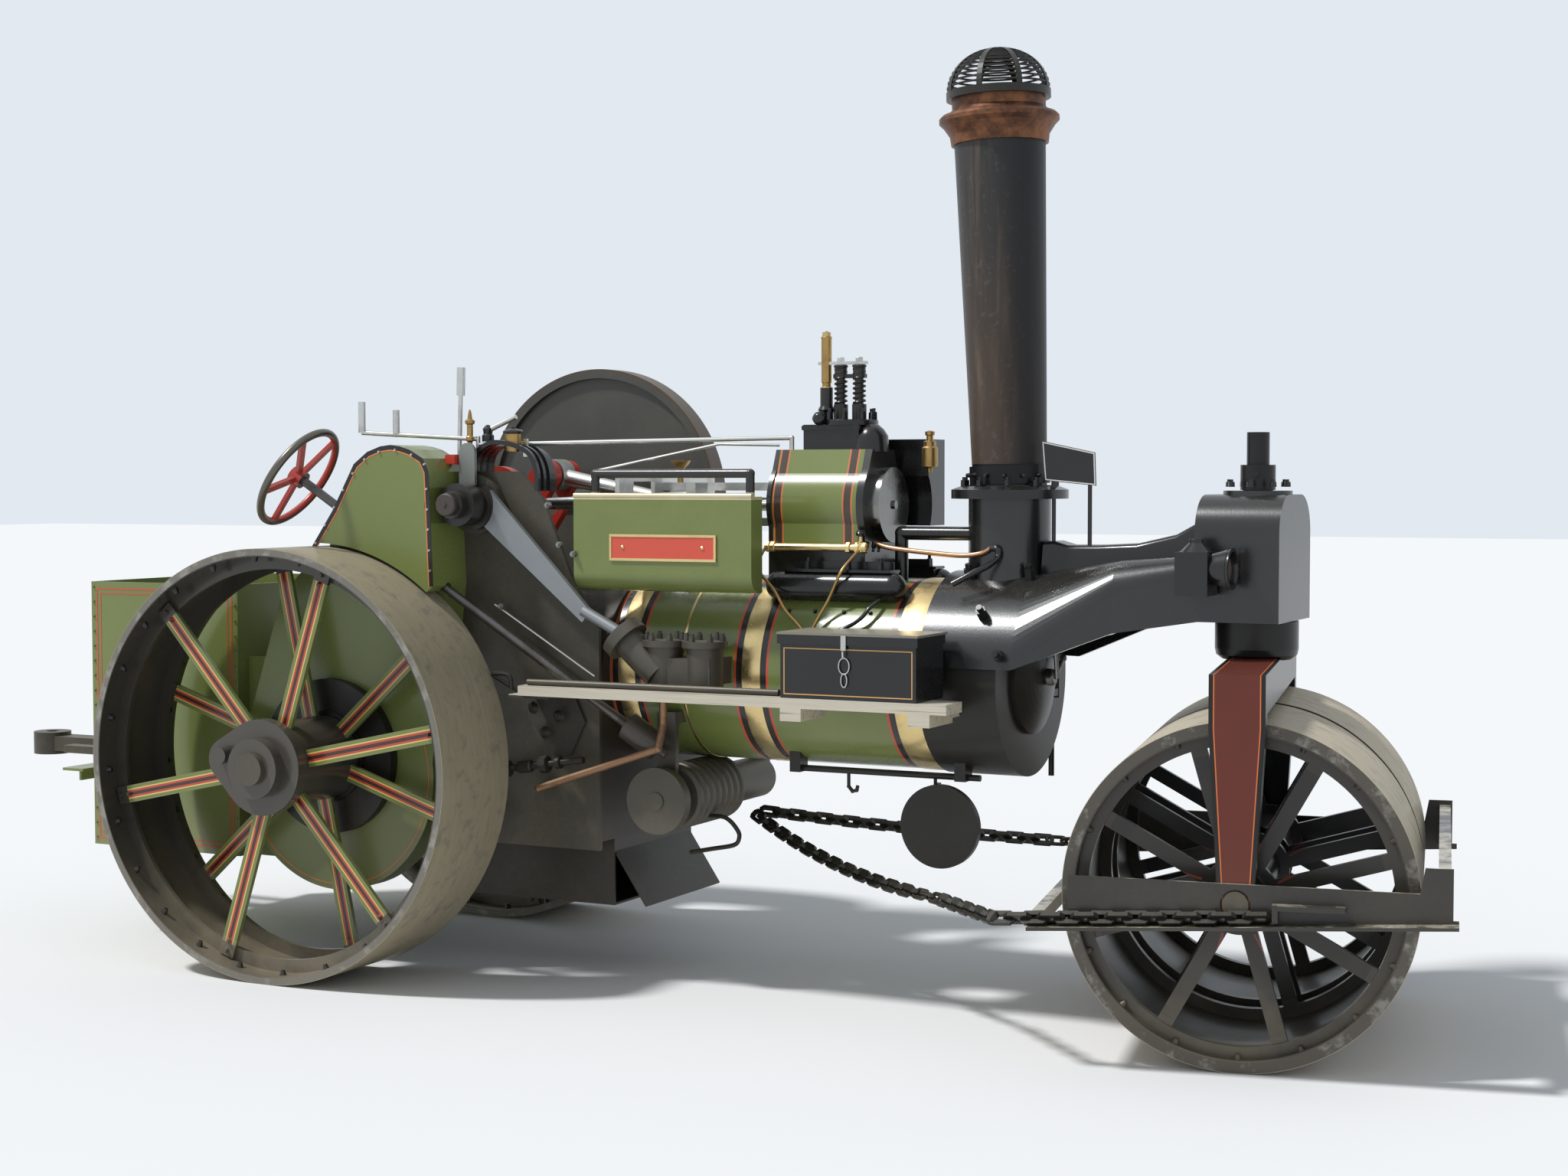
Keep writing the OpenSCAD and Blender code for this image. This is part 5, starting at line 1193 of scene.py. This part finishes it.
# %% Gauges
gauges, glass, dial = bmesh.new(), bmesh.new(), bmesh.new()
for y in (-215, 245):
    for z in (1165, 1345):
        tube(gauges, [at(372, y, z), at(335, y, z)], 0.011, 12)
        nut(gauges, (341, y, z - 16), UP, 17, 32)
    tube(glass, [at(341, y, 1180), at(341, y, 1332)], 0.0075, 12)
tube(gauges, bend([(470, 120, 1420), (455, 120, 1490), (430, 120, 1530), (405, 120, 1545)], 5), 0.007)
turned(gauges, (405, 120, 1545), (-1, 0, 0), [(0, 62), (6, 66), (34, 66), (40, 60), (40, 54), (36, 54)], 40)
turned(dial, (370, 120, 1545), (-1, 0, 0), [(0, 53), (1, 53)], 40)
piece("gauge_brass", gauges, brass, 30)
dial_white = plain_paint("dial_white", (0.70, 0.68, 0.62), 0.3, 0.3, film=0.05, low=0.0, ledge=0.0)
piece("gauge_dial", dial, dial_white)
tube_glass = plain_paint("tube_glass", (0.30, 0.34, 0.34), 0.06, 0.8, film=0.03, low=0.0, ledge=0.0)
piece("gauge_glasses", glass, tube_glass, 40)

# %% [markdown]
# ## Lamp, toolbox catch and door handles
# Small things that are turned or bent: a black lamp ring with its glass, the toolbox's pale lid edge,
# its catch on two chain links, and two handles on the smokebox door's middle bolt.

# %% Lamp glass
lamp = bmesh.new()
lathe(lamp, at(3230, -268, 1484), FORWARD, [(0.0, 0.050), (0.022, 0.060), (0.030, 0.0655), (0.036, 0.0655),
                                            (0.036, 0.054), (0.014, 0.047), (0.0, 0.050)], 40)
piece("lamp_ring", lamp, black_gloss, 40)
glass_paint = Paint("lamp_glass")
glass_ring = glass_paint.noise(30, 2)
lamp_glass = glass_paint.finish(glass_paint.tint((0.11, 0.08, 0.06), 0.6, 1.3, glass_ring), 0.14, 0.2, 0.4)
lens = bmesh.new()
lathe(lens, at(3238, -268, 1484), FORWARD, [(0.0, 0.0), (0.0, 0.050), (0.008, 0.048), (0.016, 0.030), (0.019, 0.0)], 32)
piece("lamp_lens", lens, lamp_glass, 40)

# %% Toolbox edge, catch and its chain
edge = bmesh.new()
brick(edge, at(1855, -610, 1262), at(2353, -364, 1270), 0.0015)
edge_paint = plain_paint("lid_edge", (0.20, 0.19, 0.16), 0.45, 0.1, film=0.2, low=0.0, ledge=0.3)
piece("toolbox_lid_edge", edge, edge_paint, body="toolbox_lid")
catch = bmesh.new()
brick(catch, at(2086, -613, 1216), at(2104, -609, 1264), 0.001)
piece("toolbox_hasp", catch, bright_steel, body="toolbox_lid")
catch = bmesh.new()
tube(catch, [at(2095, -600, 1214), at(2095, -616, 1212), at(2095, -616, 1196), at(2095, -600, 1194)], 0.003, 8)
for first, width, height, z in ((0, 19, 26, 1166), (8, 10.45, 22, 1120)):
    turns = [2 * math.pi * (first + i) / 16 for i in range(17)]
    tube(catch, [at(2095 + width * math.sin(t), -606, z - height * math.cos(t)) for t in turns], 0.0026, 6)
piece("toolbox_catch", catch, bright_steel, 40)

# %% Smokebox door handles
handles = bmesh.new()
low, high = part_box("smokebox_door")
hub_x, HANDLE_LENGTH = high[0] * 1000 + MIDDLE_X, 105
turned(handles, (hub_x - 14, 0, BOILER_Z), FORWARD, [(0, 26), (18, 26), (24, 20)])
for lift, angle in ((6, 35), (16, 100)):
    turn = math.radians(angle)
    tip = (hub_x + lift, HANDLE_LENGTH * math.cos(turn), BOILER_Z + HANDLE_LENGTH * math.sin(turn))
    tube(handles, [at(hub_x + lift, 0, BOILER_Z), at(*tip)], 0.008, 10)
    turned(handles, (tip[0] - 11, tip[1], tip[2]), FORWARD, [(0, 6), (4, 11), (18, 11), (22, 6)], 12)
piece("door_handles", handles, dull_steel, 30, "smokebox_door")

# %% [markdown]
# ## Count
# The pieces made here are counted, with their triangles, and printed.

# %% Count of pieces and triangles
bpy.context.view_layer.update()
triangles = 0
for new in made:
    new.data.calc_loop_triangles()
    triangles += len(new.data.loop_triangles)
print("pieces", len(made), "triangles", triangles)
